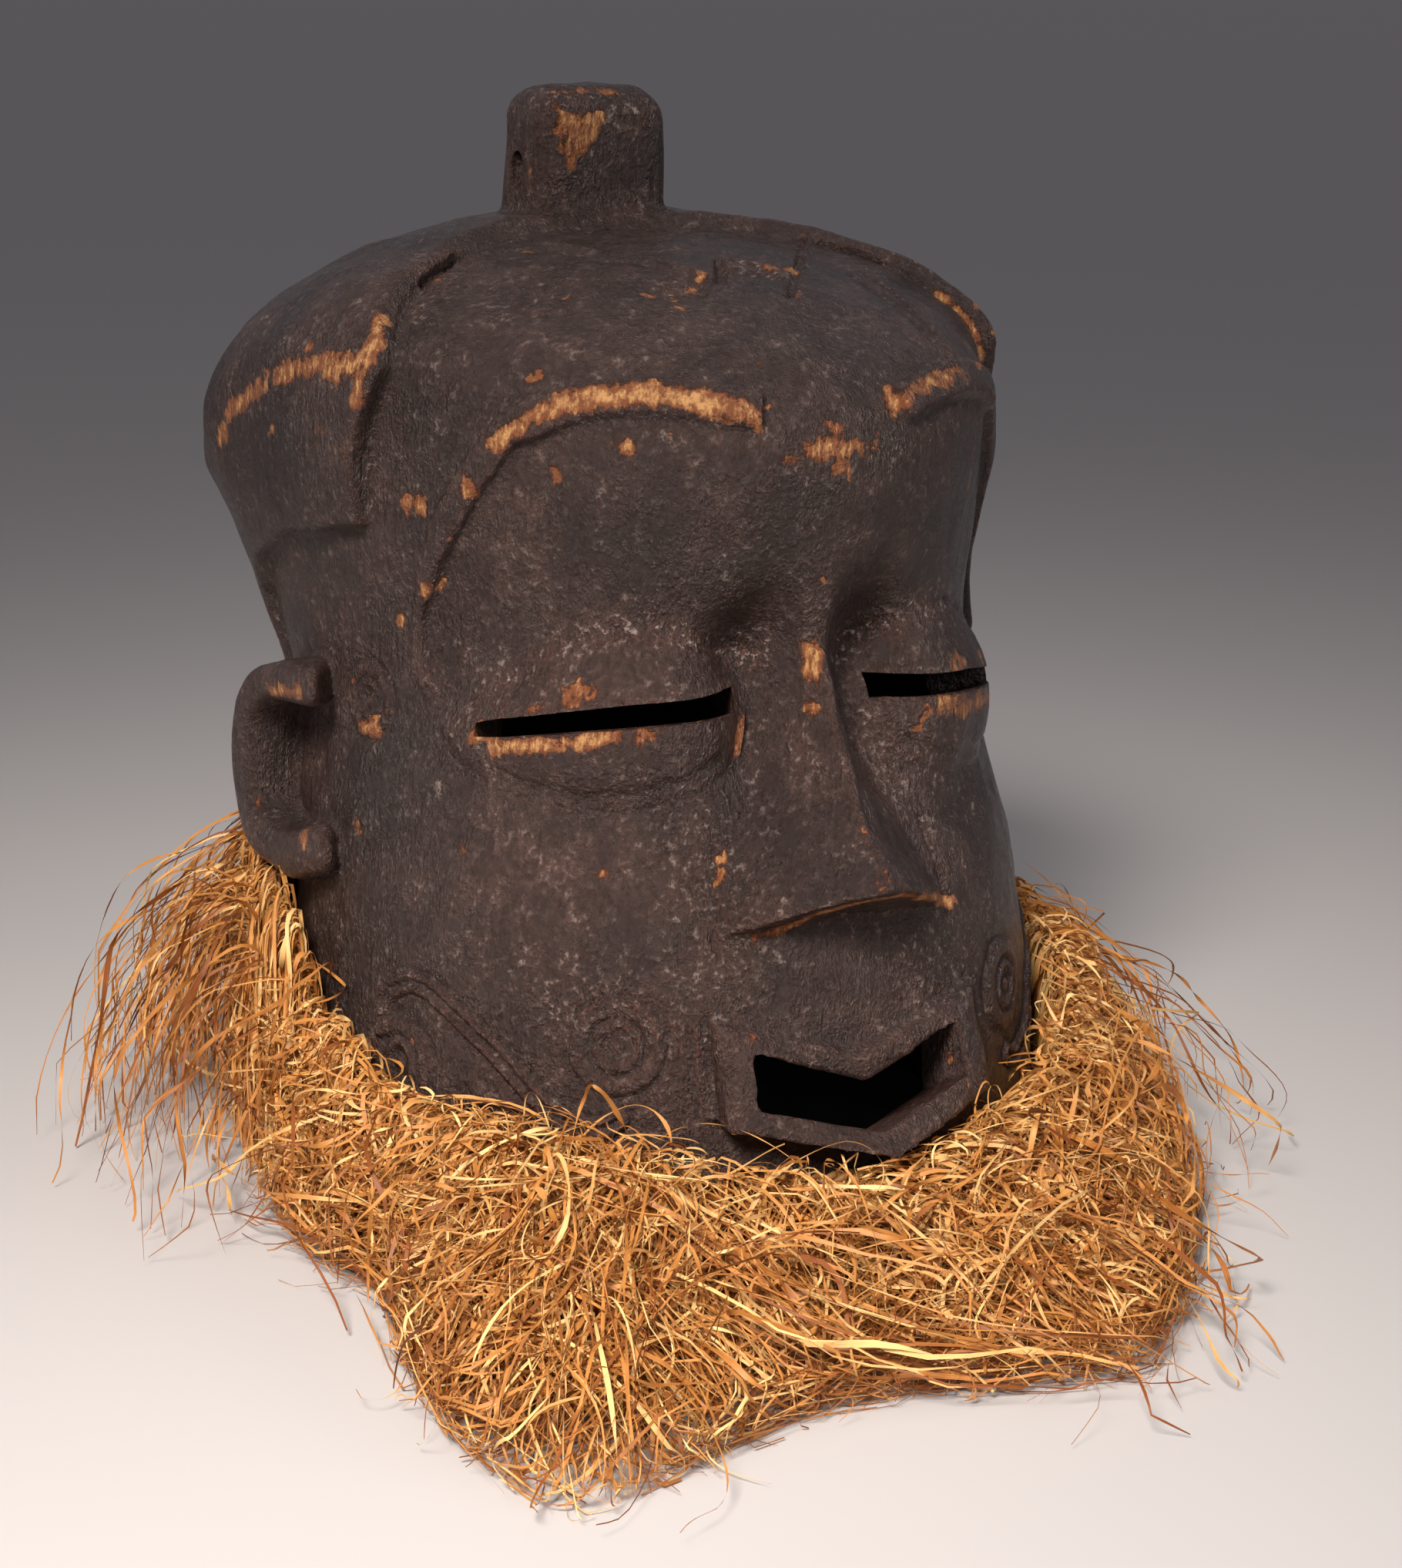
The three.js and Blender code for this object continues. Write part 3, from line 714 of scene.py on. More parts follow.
STROKES = (
    *marks(
        Mark.WORN,
        # Worn edge of the hair over the left temple
        (3.4, 1.15, (285, 572), (292, 548), (306, 528), (344, 493), (375, 480), (420, 474)),
        (3.0, 0.9, (292, 562), (298, 545)),
        (3.8, 1.3, (420, 474), (452, 474), (474, 468)),
        (3.2, 1.15, (474, 468), (488, 440), (494, 414)),
        (3.4, 1.15, (466, 484), (462, 518)),
        (2.2, 0.7, (400, 452), (424, 430), (450, 416)),
        (2.6, 0.8, (356, 552), (350, 560)),
        (3.0, 0.8, (414, 562), (410, 574)),
        (2.0, 0.7, (446, 570), (447, 592)),
        # Brow bands
        (3.0, 1.2, (642, 574), (660, 562), (687, 540), (725, 523)),
        (4.0, 1.35, (725, 523), (781, 514), (844, 513), (906, 519)),
        (4.4, 1.15, (906, 520), (940, 528), (970, 532)),
        (2.6, 1.0, (975, 535), (984, 555)),
        (1.1, 0.95, (993, 529), (1033, 529)),
        (1.6, 0.9, (983, 470), (984, 473)),
        (2.2, 1.0, (1150, 504), (1158, 538)),
        (3.2, 0.95, (1158, 524), (1187, 506), (1225, 490), (1256, 484)),
        (2.0, 0.95, (1217, 382), (1242, 402), (1264, 426), (1274, 454), (1270, 476)),
        (1.6, 0.7, (1268, 560), (1262, 600), (1256, 640)),
        (3.4, 0.95, (606, 632), (612, 641)),
        (3.4, 0.95, (532, 656), (546, 657)),
        (2.4, 0.85, (553, 762), (552, 776)),
        (2.4, 0.75, (519, 800), (520, 808)),
        (1.8, 0.8, (576, 752), (573, 762)),
        (1.5, 0.7, (584, 700), (580, 712)),
        # Front of the forehead and the bridge
        (3.6, 1.2, (1056, 582), (1087, 580), (1122, 580)),
        (3.4, 1.15, (1084, 566), (1092, 585), (1094, 608)),
        (2.2, 0.95, (1137, 562), (1132, 584)),
        (1.8, 0.75, (1073, 548), (1094, 560)),
        (2.4, 0.75, (1020, 593), (1032, 595)),
        (3.8, 1.1, (1050, 842), (1054, 866)),
        (2.4, 0.8, (1056, 866), (1058, 884)),
        (3.4, 0.85, (1056, 918), (1058, 928)),
        (2.2, 0.85, (718, 610), (720, 622)),
        (2.4, 0.85, (806, 578), (816, 580)),
        (2.2, 0.85, (692, 490), (702, 486)),
        (1.8, 0.75, (868, 562), (872, 566)),
        (1.5, 0.6, (1066, 752), (1068, 760)),
        # Eyes
        (3.4, 0.95, (738, 904), (762, 900)),
        (2.6, 0.95, (684, 920), (697, 916)),
        (2.4, 1.1, (640, 958), (646, 966)),
        (2.4, 1.15, (642, 970), (670, 969), (720, 966), (752, 963), (796, 957)),
        (2.6, 0.9, (700, 972), (720, 970)),
        (3.2, 1.0, (770, 963), (798, 957)),
        (3.2, 0.85, (832, 956), (852, 950)),
        (2.0, 0.75, (962, 930), (962, 948), (956, 978)),
        (3.4, 0.9, (1238, 862), (1250, 856)),
        (2.8, 0.9, (1268, 846), (1276, 858)),
        (3.8, 0.95, (1228, 914), (1256, 918), (1284, 906)),
        # Nose
        (1.9, 1.0, (978, 1216), (1019, 1203), (1050, 1192)),
        (2.6, 1.3, (1050, 1190), (1075, 1182), (1125, 1170), (1169, 1162)),
        (2.2, 1.2, (1169, 1162), (1219, 1167), (1240, 1173)),
        # Temples, ears and cheeks
        (3.8, 0.95, (470, 948), (486, 944)),
        (4.0, 0.7, (352, 896), (384, 898)),
        (2.6, 0.7, (340, 1096), (352, 1104)),
        (3.0, 0.7, (392, 1084), (398, 1092)),
        (2.4, 0.9, (778, 1136), (788, 1136)),
        (2.0, 0.7, (608, 1090), (606, 1100)),
        (1.8, 0.8, (461, 1062), (470, 1090)),
        (2.0, 0.5, (934, 1115), (932, 1150)),
        # Broken places on the dome
        (2.2, 1.0, (911, 354), (906, 368), (898, 380)),
        (2.6, 1.1, (998, 346), (1014, 350), (1030, 352)),
        (1.6, 0.9, (838, 384), (846, 386)),
        (1.9, 1.05, (876, 388), (882, 397)),
    ),
    *marks(
        Mark.CUT,
        (4.5, 1.3, (860, 376), (892, 372)),
        (3.0, 1.2, (904, 356), (910, 382)),
        (2.4, 3.2, (934, 336), (936, 366)),
        (4.0, 1.7, (948, 352), (976, 356)),
        (3.4, 2.4, (956, 338), (990, 344), (1006, 360)),
        (1.9, 1.8, (1042, 312), (1036, 345), (1026, 385)),
        (1.6, -1.0, (1050, 312), (1044, 345)),
    ),
    *marks(
        Mark.DUST,
        (5.0, 1.0, (858, 378), (892, 376)),
        (5.0, 1.2, (958, 342), (985, 348), (1006, 362)),
    ),
    *marks(
        Mark.CUT,
        # Front edge of the cap, a low step from the left plate over the crown to the right one
        (2.2, -1.0, (579, 333), (608, 321), (679, 313), (738, 321), (832, 333), (879, 348), (926, 362)),
        (2.0, 0.9, (584, 341), (612, 330), (682, 322), (740, 330), (832, 343), (876, 358)),
        (2.0, -1.0, (1114, 351), (1130, 360), (1161, 382), (1192, 407), (1224, 441), (1239, 472)),
        (2.0, 0.9, (1104, 358), (1124, 370), (1155, 392), (1186, 418), (1216, 450)),
    ),
    *marks(
        Mark.WORN,
        # Rubbed crown of the knob and the rim of its hole
        (2.6, 0.62, (716, 120), (760, 116), (800, 120)),
        (3.4, 0.95, (735, 158), (760, 162), (776, 158)),
        (3.4, 0.9, (730, 186), (752, 190)),
        (2.6, 0.72, (720, 140), (728, 170)),
        (2.2, 0.75, (738, 205), (742, 214)),
        (2.0, 0.6, (838, 150), (844, 170)),
        (1.2, 0.85, (686, 196), (689, 219), (685, 240)),
    ),
    *marks(
        Mark.DUST,
        (9.0, 0.5, (680, 130), (760, 128), (830, 150)),
        (8.0, 0.5, (730, 150), (752, 200)),
    ),
    *marks(
        Mark.CUT,
        # Crack beside the plate of hair
        (2.0, 3.4, (594, 334), (574, 348), (552, 366)),
        (2.2, 1.6, (552, 366), (534, 388), (524, 410), (519, 440)),
        # Groove and ridge beside the mouth
        (1.9, 1.3, (914, 1322), (918, 1372), (924, 1430), (930, 1470)),
        (2.0, -1.1, (902, 1330), (908, 1390), (916, 1450)),
        (1.7, 0.8, (892, 1330), (898, 1390), (906, 1452)),
        both=True,
    ),
    *marks(
        Mark.CUT,
        # Peeled splinter at the inner end of the left slit
        (1.7, -1.2, (962, 930), (961, 950), (956, 980)),
    ),
    *marks(
        Mark.CUT,
        # Crease over the upper lids
        (3.4, 0.7, (618, 920), (662, 884), (700, 856), (750, 830), (800, 820)),
        (3.4, 0.7, (800, 820), (850, 824), (925, 838), (975, 848)),
        both=True,
    ),
    *marks(
        Mark.DUST,
        (5.0, 0.6, (630, 912), (662, 884), (700, 856), (750, 830), (800, 819)),
        (5.5, 0.75, (800, 819), (850, 823), (925, 836), (985, 850)),
        (9.0, 0.55, (590, 952), (628, 948)),
        both=True,
    ),
    *marks(
        Mark.DUST,
        (16.0, 0.45, (1150, 1000), (1230, 1010)),
        (14.0, 0.35, (905, 1080), (945, 1180), (940, 1290)),
        (12.0, 0.4, (700, 1280), (800, 1290), (880, 1330)),
        (12.0, 0.45, (1170, 1240), (1230, 1260)),
    ),
    *marks(
        Mark.CUT,
        # Ridge and facet down the nose, and the step at its left wing
        (2.6, -0.9, (1074, 884), (1086, 950), (1108, 1040), (1126, 1094)),
        (4.5, 1.4, (1090, 900), (1108, 980), (1136, 1070)),
    ),
    *marks(
        Mark.CUT,
        (2.4, 1.4, (930, 1100), (928, 1160), (928, 1228)),
        # Groove under the lower lids
        (3.2, 0.8, (640, 1000), (690, 1022), (760, 1036), (830, 1034), (890, 1016), (935, 985)),
        both=True,
    ),
)


@dataclass(frozen=True)
class Ring:
    """A carved double circle.

    Attributes:
        angle: Place round the head in degrees.
        level: Level on the head.
        radius: Outer radius in mm.
        height: Height of the relief in mm.
        both: Whether the other side has it too.
    """

    angle: float
    level: float
    radius: float
    height: float = 1.2
    both: bool = True

    def relief(self, distance: np.ndarray) -> np.ndarray:
        """Height of the carving over a distance from the centre.

        Args:
            distance: Distances in mm.

        Returns:
            Heights in mm.
        """
        share = distance / self.radius
        keys = (0.0, 0.10, 0.20, 0.31, 0.42, 0.50, 0.57, 0.66, 0.84, 0.92, 1.0, 1.08, 1.2, 1.3)
        values = (0.45, 0.25, -0.75, -0.1, 0.9, 0.1, -0.35, 0.75, 0.85, 0.7, -0.65, -0.35, 0.0, 0.0)
        return self.height * through(keys, values, np.minimum(share, 1.3))


# The helmet


@dataclass
class Helmet:
    """The whole carving in one block of wood.

    Attributes:
        form: Form of the head.
        camera: Camera that the strokes are placed with.
        voxel: Size of the cells that the union is rebuilt with, in mm.
        faces: Number of triangles of the finished piece.
        dome: Thickness of the dome in mm.
        hair_edge: Edge of the raised hair in side view.
        hair_levels: Heights of the stations of the hair's thickness.
        hair_thickness: Its thickness there.
        hair_slope: Width of the slope along its edge in mm.
        rings: Carved circles.
        scroll: Path of the carved scroll by angle and level.
        scroll_half: Half width of the scroll in mm.
        ear_path: Middle of the rim of the ear on the mask's right.
        ear_size: Half width and half thickness of that rim.
        ear_slant: How far the outer side of its lobes leads their root, as a share of its distance.
        ear_face: Direction that the ear faces.
        knob_size: Width, depth and top of the knob.
        knob_y: Place of its middle.
        knob_rounding: Radius of its upper edge.
        knob_foot: Heights up its foot with its growth there.
        knob_power: Power of its section.
        knob_bore: Half width, half height and place of the hole through it.
        nose_top: Height of the top of the nose.
        nose_half: Half widths of the nose at the top and at the wings.
        nose_reach: How far it stands out at the top and at the tip.
        eye_ends: Outer and inner end of an eye.
        eye_lids: Heights of its upper and lower half.
        eye_swell: How far it stands out.
        slit_ends: Outer and inner end of a slit.
        slit_shares: Stations along the slit.
        slit_heights: Its heights there.
        slit_flare: How far its floor falls away inside.
        mouth_outer: Corners of the outer edge of the mouth frame's right half.
        mouth_inner: Corners of its inner edge.
        mouth_flare: How far the floor of the mouth falls away inside.
        band_path: Path of the band over the brow by angle and level.
        band_height: How far it stands out.
        lacing_radius: Radius of the holes for the lacing.
        trace_step: Pixels between two points of a traced mark.
        crease: Angle in degrees past which an edge is shaded sharp.
    """

    form: HeadForm
    camera: PhotoCamera
    voxel: float = 1.15
    faces: int = 188000
    dome: float = 20.0
    hair_edge: tuple = (
        (-13, 264), (-8, 273), (18, 291), (46, 300), (80, 312), (260, 312), (260, 128), (86, 128),
        (85, 150), (81, 177), (71, 190), (56, 197.5), (40, 204), (15, 210), (-3, 213),
        (-4.5, 225), (-4, 235), (-7, 249), (-11, 259),
    )
    hair_levels: tuple = (120, 205, 238, 262, 290, 320)
    hair_thickness: tuple = (4.5, 5.5, 9.5, 9.0, 5.5, 4.0)
    hair_slope: float = 2.6
    rings: tuple[Ring, ...] = (
        Ring(35, 0.275, 15.5), Ring(76, 0.62, 12.5), Ring(-32, 1.54, 14.5, 0.7, False),
        Ring(71, 0.2, 15.5, 1.0),
    )
    scroll: Stations = (
        (-75, 0.24), (-74, 0.275), (-71.8, 0.291), (-68.5, 0.301), (-64.9, 0.297), (-61.4, 0.283),
        (-57.3, 0.262), (-53.5, 0.242), (-49.8, 0.217), (-46.4, 0.195), (-43.3, 0.179), (-38, 0.172),
        (-35, 0.186),
    )
    scroll_half: float = 3.4
    ear_path: tuple = (
        (-113, 21, 160), (-114.5, 38, 157.5), (-115, 53, 153), (-115.5, 63, 143), (-115.5, 65, 127),
        (-115, 63, 111.5), (-115, 51, 103), (-114, 31, 102.5), (-112.5, 12, 108),
    )
    ear_size: tuple[float, float] = (6.8, 11.2)
    ear_slant: float = 1.1
    ear_face: tuple[float, float, float] = (-0.985, -0.17, 0.0)
    knob_size: tuple[float, float, float] = (51.0, 32.0, 343.0)
    knob_y: float = 67.0
    knob_rounding: float = 12.0
    knob_foot: Stations = (
        (284.0, 7.0), (288.0, 5.0), (292.0, 4.6), (294.5, 1.6), (304.0, 0.2), (318.0, -0.8),
    )
    knob_power: float = 4.4
    knob_bore: tuple[float, float, float] = (4.75, 6.25, 315.0)
    nose_top: float = 184.0
    nose_half: tuple[float, float] = (5.0, 43.0)
    nose_reach: tuple[float, float] = (3.0, 32.0)
    eye_ends: tuple[float, float] = (-98.0, -16.0)
    eye_lids: tuple[float, float] = (27.0, 30.0)
    eye_swell: float = 10.5
    slit_ends: tuple[float, float] = (-89.5, -23.0)
    slit_shares: tuple = (0.0, 0.06, 0.25, 0.5, 1.0)
    slit_heights: tuple = (3.2, 5.0, 6.1, 6.9, 6.6)
    slit_flare: float = 14.0
    mouth_outer: tuple = ((46.5, -115, 78), (0, -126.5, 65.5), (47, -126, 47), (0, -149, 38.5))
    mouth_inner: tuple = ((36, -121.5, 69), (0, -127, 56.5), (37, -128, 53.5), (0, -141, 45.5))
    mouth_flare: float = 17.0
    band_path: Stations = (
        (-59.5, 0.61), (-56.5, 0.7), (-49.5, 0.79), (-41, 0.9), (-34, 1.0), (-26, 1.15), (-17, 1.2),
        (-8, 1.17),
    )
    band_height: float = 3.6
    lacing_radius: float = 5.0
    trace_step: float = 1.5
    crease: float = 48.0

    def hair(self) -> Shell:
        """Raised mass of hair: the head's surface moved out behind its edge.

        Returns:
            The shell.
        """
        levels = np.concatenate([
            np.linspace(0.4, 1.0, 131), np.linspace(1.0, self.form.last_level, 101)[1:]
        ])
        angles = full_turn(480)
        bare = self.form.point(angles[None, :], levels[:, None])
        depth = self.depth_inside(bare[..., 1:], np.array(self.hair_edge, float))
        thick = np.interp(bare[..., 2], self.hair_levels, self.hair_thickness)
        out = lerp(-2.0, thick, np.clip(depth / self.hair_slope, 0.0, 1.0))
        return loft(self.form.point(angles[None, :], levels[:, None], out))

    @staticmethod
    def depth_inside(places: np.ndarray, outline: np.ndarray) -> np.ndarray:
        """Distance of places from an outline.

        Args:
            places: Places in the outline's plane, along the last axis.
            outline: Corners of the closed outline.

        Returns:
            Distances in mm, below 0 outside it.
        """
        gap = np.full(places.shape[:-1], np.inf)
        inside = np.zeros(places.shape[:-1], bool)
        x, y = places[..., 0], places[..., 1]
        for a, b in zip(outline, np.roll(outline, -1, 0)):
            along = b - a
            share = np.clip(((places - a) @ along) / (along @ along), 0.0, 1.0)
            gap = np.minimum(gap, np.linalg.norm(places - a - share[..., None] * along, axis=-1))
            if a[1] != b[1]:
                crosses = (a[1] > y) != (b[1] > y)
                inside ^= crosses & (x < a[0] + (y - a[1]) * along[0] / along[1])
        return np.where(inside, gap, -gap)

    def knob(self) -> Shell:
        """Upright block on the crown.

        Returns:
            The shell.
        """
        width, depth, top = self.knob_size
        sections = list(self.knob_foot)
        for turn in np.linspace(0.0, 1.32, 9):
            inset = self.knob_rounding * (1 - math.cos(turn))
            sections.append((top - self.knob_rounding * (1 - math.sin(turn)), -1 - 2 * inset))
        x, y = rounded(48, self.knob_power)
        return loft(np.array([
            np.column_stack([
                (width + grow) / 2 * x, self.knob_y + (depth + grow) / 2 * y, np.full(len(x), z)
            ])
            for z, grow in sections
        ]))

    def nose(self) -> Shell:
        """Long wedge that widens from the bridge to the wings, hollow-flanked, cut back below.

        Returns:
            The shell.
        """
        rows = []
        u = np.linspace(-1, 1, 41)
        for s in np.linspace(0, 1, 44):
            half = lerp(*self.nose_half, s**1.15)
            reach = lerp(*self.nose_reach, s)
            x = u * half
            crown = (1 - np.abs(u) ** 1.3) ** 1.1
            flank = 0.07 * np.sin(np.pi * np.abs(u)) * s * (u > 0)
            edge = lerp(101.0, 120.5, 1 - np.abs(u) ** 1.25)
            z = lerp(self.nose_top, edge, s)
            front = np.column_stack([x, self.form.face_y(x, z) + 1 - reach * (crown - flank), z])
            across = np.linspace(0.7, -0.7, 9)
            back_x = across * half
            back_z = lerp(self.nose_top, 104.0 - 9.0 * np.abs(across) ** 1.5, s)
            back_y = self.form.face_y(back_x, back_z) + 7
            back = np.column_stack([back_x, back_y, back_z])
            rows.append(np.vstack([front, back]))
        return loft(np.array(rows))

    @staticmethod
    def lid_line(x: float) -> float:
        """Height of the line where the lids meet, which falls away towards the temple."""
        return 169.1 - 0.0028 * (x + 28.0) ** 2

    def eye(self) -> Shell:
        """Bulging eye, like a coffee bean lying across the face.

        Returns:
            The shell.
        """
        rows = []
        v = np.linspace(-1, 1, 37)
        for s in np.linspace(0.012, 0.988, 64):
            swell = math.sin(math.pi * s)
            x = lerp(*self.eye_ends, s)
            middle = self.lid_line(x)
            upper, lower = self.eye_lids
            z = middle + np.where(v > 0, v * upper * swell**0.6, v * lower * swell**0.45)
            out = self.eye_swell * swell**0.5 * (1 - np.abs(v) ** lerp(2.0, 1.5, v > 0)) - 0.6
            front = self.form.wall(self.form.angle_at(x, z), z, out)
            behind_z = middle + np.array([10.0, 4.0, -4.0, -8.0]) * swell
            behind = self.form.wall(self.form.angle_at(x, behind_z), behind_z, -6.0)
            rows.append(np.vstack([front, behind]))
        return loft(np.array(rows))

    def slit(self) -> Shell:
        """Cut through one eye.

        Returns:
            The shell.
        """
        rows = []
        for s in np.linspace(0, 1, 17):
            x = lerp(*self.slit_ends, s)
            z = self.lid_line(x)
            half = 0.5 * float(np.interp(s, self.slit_shares, self.slit_heights))
            low, high = z - half, z + half
            angle = self.form.angle_at(x, z)
            front = self.form.wall(angle, z, 22.0)
            lip = self.form.wall(angle, z, 7.0)
            behind = self.form.wall(angle, z, -28.0)
            rows.append([
                (*front[:2], low), (*front[:2], high), (*behind[:2], high),
                (*behind[:2], low - self.slit_flare), (*lip[:2], low - 0.3),
            ])
        return loft(np.array(rows))

    def mouth(self) -> tuple[Shell, Shell]:
        """Chevron frame of the mouth and the opening inside it.

        Returns:
            The frame and the tool that opens it.
        """
        outer, inner = self.chevron(self.mouth_outer), self.chevron(self.mouth_inner)
        middle = lerp(outer, inner, 0.5)
        middle[:, 1] -= 0.9
        rows = []
        for o, m, i in zip(outer, middle, inner):
            rows.append([
                o, lerp(o, m, 0.25) - (0, 0.5, 0), m, lerp(m, i, 0.8) - (0, 0.2, 0), i,
                (i[0], -96.0, i[2]), (o[0], -96.0, o[2]),
            ])
        front, behind = inner.copy(), inner.copy()
        front[:, 1] = -170.0
        behind[:, 1] += 32.0
        side = len(inner) // 6
        below = np.interp(np.arange(len(inner)), side * np.array([0, 2, 3, 5, 6]), (0, 0, 1, 1, 0))
        behind[:, 2] -= self.mouth_flare * below
        far = behind.copy()
        far[:, 1] = -60.0
        return loft(np.array(rows), True), loft(np.array([front, inner, behind, far]))

    @staticmethod
    def chevron(half: tuple, count: int = 7) -> np.ndarray:
        """Outline of the mouth from the corners of its right half.

        Args:
            half: Upper corner, upper peak, lower corner and lower peak.
            count: Points for each of its six sides.

        Returns:
            Its points in turn, from the upper corner of the left half.
        """
        upper, upper_peak, lower, lower_peak = np.array(half, float)
        corners = np.array([upper * MIRROR, upper_peak, upper, lower, lower_peak, lower * MIRROR])
        share = np.linspace(0, 1, count, endpoint=False)[:, None]
        return np.vstack([lerp(a, b, share) for a, b in zip(corners, np.roll(corners, -1, 0))])

    def band(self) -> Shell:
        """Raised band from the temple over the brow.

        Returns:
            The shell.
        """
        count = 90
        angle, level = self.traced_path(self.band_path, count)
        point, _, _, normal = self.form.frame(angle, level)
        along = unit(np.gradient(point, axis=0))
        side = unit(np.cross(normal, along))
        s = np.linspace(0, 1, count)[:, None]
        half = lerp(5.0, 12.5, np.minimum(s * 1.3, 1.0)) / 2
        half = half + 0.25 * np.sin(23 * s) + 0.2 * np.sin(51 * s + 1)
        height = self.band_height * smoothstep(0.0, 0.06, s)
        flank = [(1.02, 0.3), (0.94, 0.93), (0.78, 1.0), (0.3, 1.06)]
        section = [(across, out * height) for across, out in flank]
        section += [(-across, lift) for across, lift in reversed(section)]
        section = [(1.04, -3.0), *section, (-1.04, -3.0)]
        return loft(np.stack([point + side * half * across + normal * lift for across, lift in section], 1))

    @staticmethod
    def traced_path(path: Stations, count: int) -> tuple[np.ndarray, np.ndarray]:
        """Smooth route on the head.

        Args:
            path: Pairs of an angle in degrees and a level.
            count: Number of points.

        Returns:
            Angles in radians and levels.
        """
        stops = np.array(path, float)
        stops[:, 0] = np.radians(stops[:, 0])
        route = catmull(stops, count)
        return route[:, 0], route[:, 1]

    def ear(self) -> Shell:
        """Thick C-shaped rim of an ear, open to the front.

        Returns:
            The shell.
        """
        count = 80
        face = unit(np.array(self.ear_face))
        route = catmull(self.ear_path, count)
        along = unit(np.gradient(route, axis=0))
        side = unit(np.cross(face, along))
        x, y = rounded(32, 3.4)
        half, thick = self.ear_size
        ends = np.linspace(0, 1, count)
        grow = 1 + 0.06 * np.exp(-(((ends - 0.03) / 0.12) ** 2))
        grow = grow + 0.25 * np.exp(-(((ends - 0.9) / 0.16) ** 2))
        blunt = np.ones(count)
        for end in (ends, 1 - ends):
            blunt *= 1 - 0.35 * np.clip(1 - end / 0.03, 0, 1) ** 2
        across = half * (grow * blunt)[:, None] * x
        out = thick * blunt[:, None] * y
        lead = self.ear_slant * (2 * ends - 1)[:, None] ** 3 * out
        lean = along[:, None] * lead[..., None]
        return loft(route[:, None] + side[:, None] * across[..., None] + face * out[..., None] + lean)

    def hollow(self) -> Shell:
        """The hewn hollow inside.

        Returns:
            The shell.
        """
        form = self.form.stack(200, 100, 50, -WALL, -self.dome, -12.0)
        hewn = Waves(16, 22, 5, (1.0, 1.0, 0.45)).at(form.points) * 0.9
        hewn += Waves(7, 18, 6).at(form.points) * 0.25
        centre = np.array([0.0, 30.0, 150.0])
        form.points += unit(form.points - centre) * np.clip(hewn, -1.2, 1.2)[:, None]
        return form

    def holes(self) -> Shell:
        """Hole through the knob and the holes for the lacing.

        Returns:
            One shell with all of them.
        """
        turn = full_turn(24)
        half, tall, middle = self.knob_bore
        y, z = self.knob_y + half * np.cos(turn), middle + tall * np.sin(turn)
        shells = [loft(np.array([np.column_stack([np.full(len(turn), x), y, z]) for x in (-60.0, 60.0)]))]
        turn = full_turn(10)
        across = self.lacing_radius * np.cos(turn)[:, None]
        up = self.lacing_radius * np.sin(turn)[:, None] * UPRIGHT
        for i in range(HOLES):
            angle = (i + 0.5) * 2 * math.pi / HOLES
            way = np.array([math.cos(angle), math.sin(angle), 0.0])
            shells.append(loft(np.array([
                self.form.wall(angle, HOLE_HEIGHT, offset) + across * way + up
                for offset in (10.0, -WALL - 12.0)
            ])))
        return merged(shells)

    def blank(self) -> bpy.types.Object:
        """Everything that stands proud, fused by a voxel remesh.

        Returns:
            The fused body.
        """
        head = self.form.stack(300, 110, 60, 0.0, 0.0, -8.0)
        frame_shell, _ = self.mouth()
        parts = [head, self.hair(), self.knob(), self.nose(), frame_shell]
        for part in (self.eye(), self.band(), self.ear()):
            parts += [part, part.mirrored()]
        whole = merged(parts)
        body = add_object("blank", mesh_from("blank", whole.points, whole.faces))
        step = body.modifiers.new("fuse", "REMESH")
        step.mode = "VOXEL"
        step.voxel_size = self.voxel
        return baked(body, "helmet")

    def trace(self, body: bpy.types.Object, stroke: Stroke) -> list[np.ndarray]:
        """Lays a stroke on the wood.

        Args:
            body: The body it lies on.
            stroke: The stroke.

        Returns:
            Its points, once for each side that has it.
        """
        path = np.array(stroke.path, float)
        origin = Vector(self.camera.place)
        found = []
        for a, b in zip(path[:-1], path[1:]):
            count = max(2, int(np.linalg.norm(b - a) / self.trace_step))
            for pixel in lerp(a, b, np.linspace(0, 1, count)[:, None]):
                hit, place, _, _ = body.ray_cast(origin, self.camera.ray(tuple(pixel)))
                if hit:
                    found.append(place[:])
        if not found:
            return []
        points = np.array(found)
        return [points, points * MIRROR] if stroke.both else [points]

    @staticmethod
    def closeness(points: np.ndarray, line: np.ndarray, radius: float) -> tuple[np.ndarray, np.ndarray]:
        """Finds the points near a line.

        Args:
            points: Points to test.
            line: Points of the line.
            radius: Reach in mm.

        Returns:
            Numbers of the near points and their distances as a share of the radius.
        """
        low, high = line.min(0) - radius, line.max(0) + radius
        near = np.flatnonzero(np.all((points > low) & (points < high), axis=1))
        if not len(near):
            return near, np.zeros(0)
        gap = np.full(len(near), np.inf)
        for place in line:
            gap = np.minimum(gap, np.linalg.norm(points[near] - place, axis=1))
        inside = gap < radius
        return near[inside], gap[inside] / radius

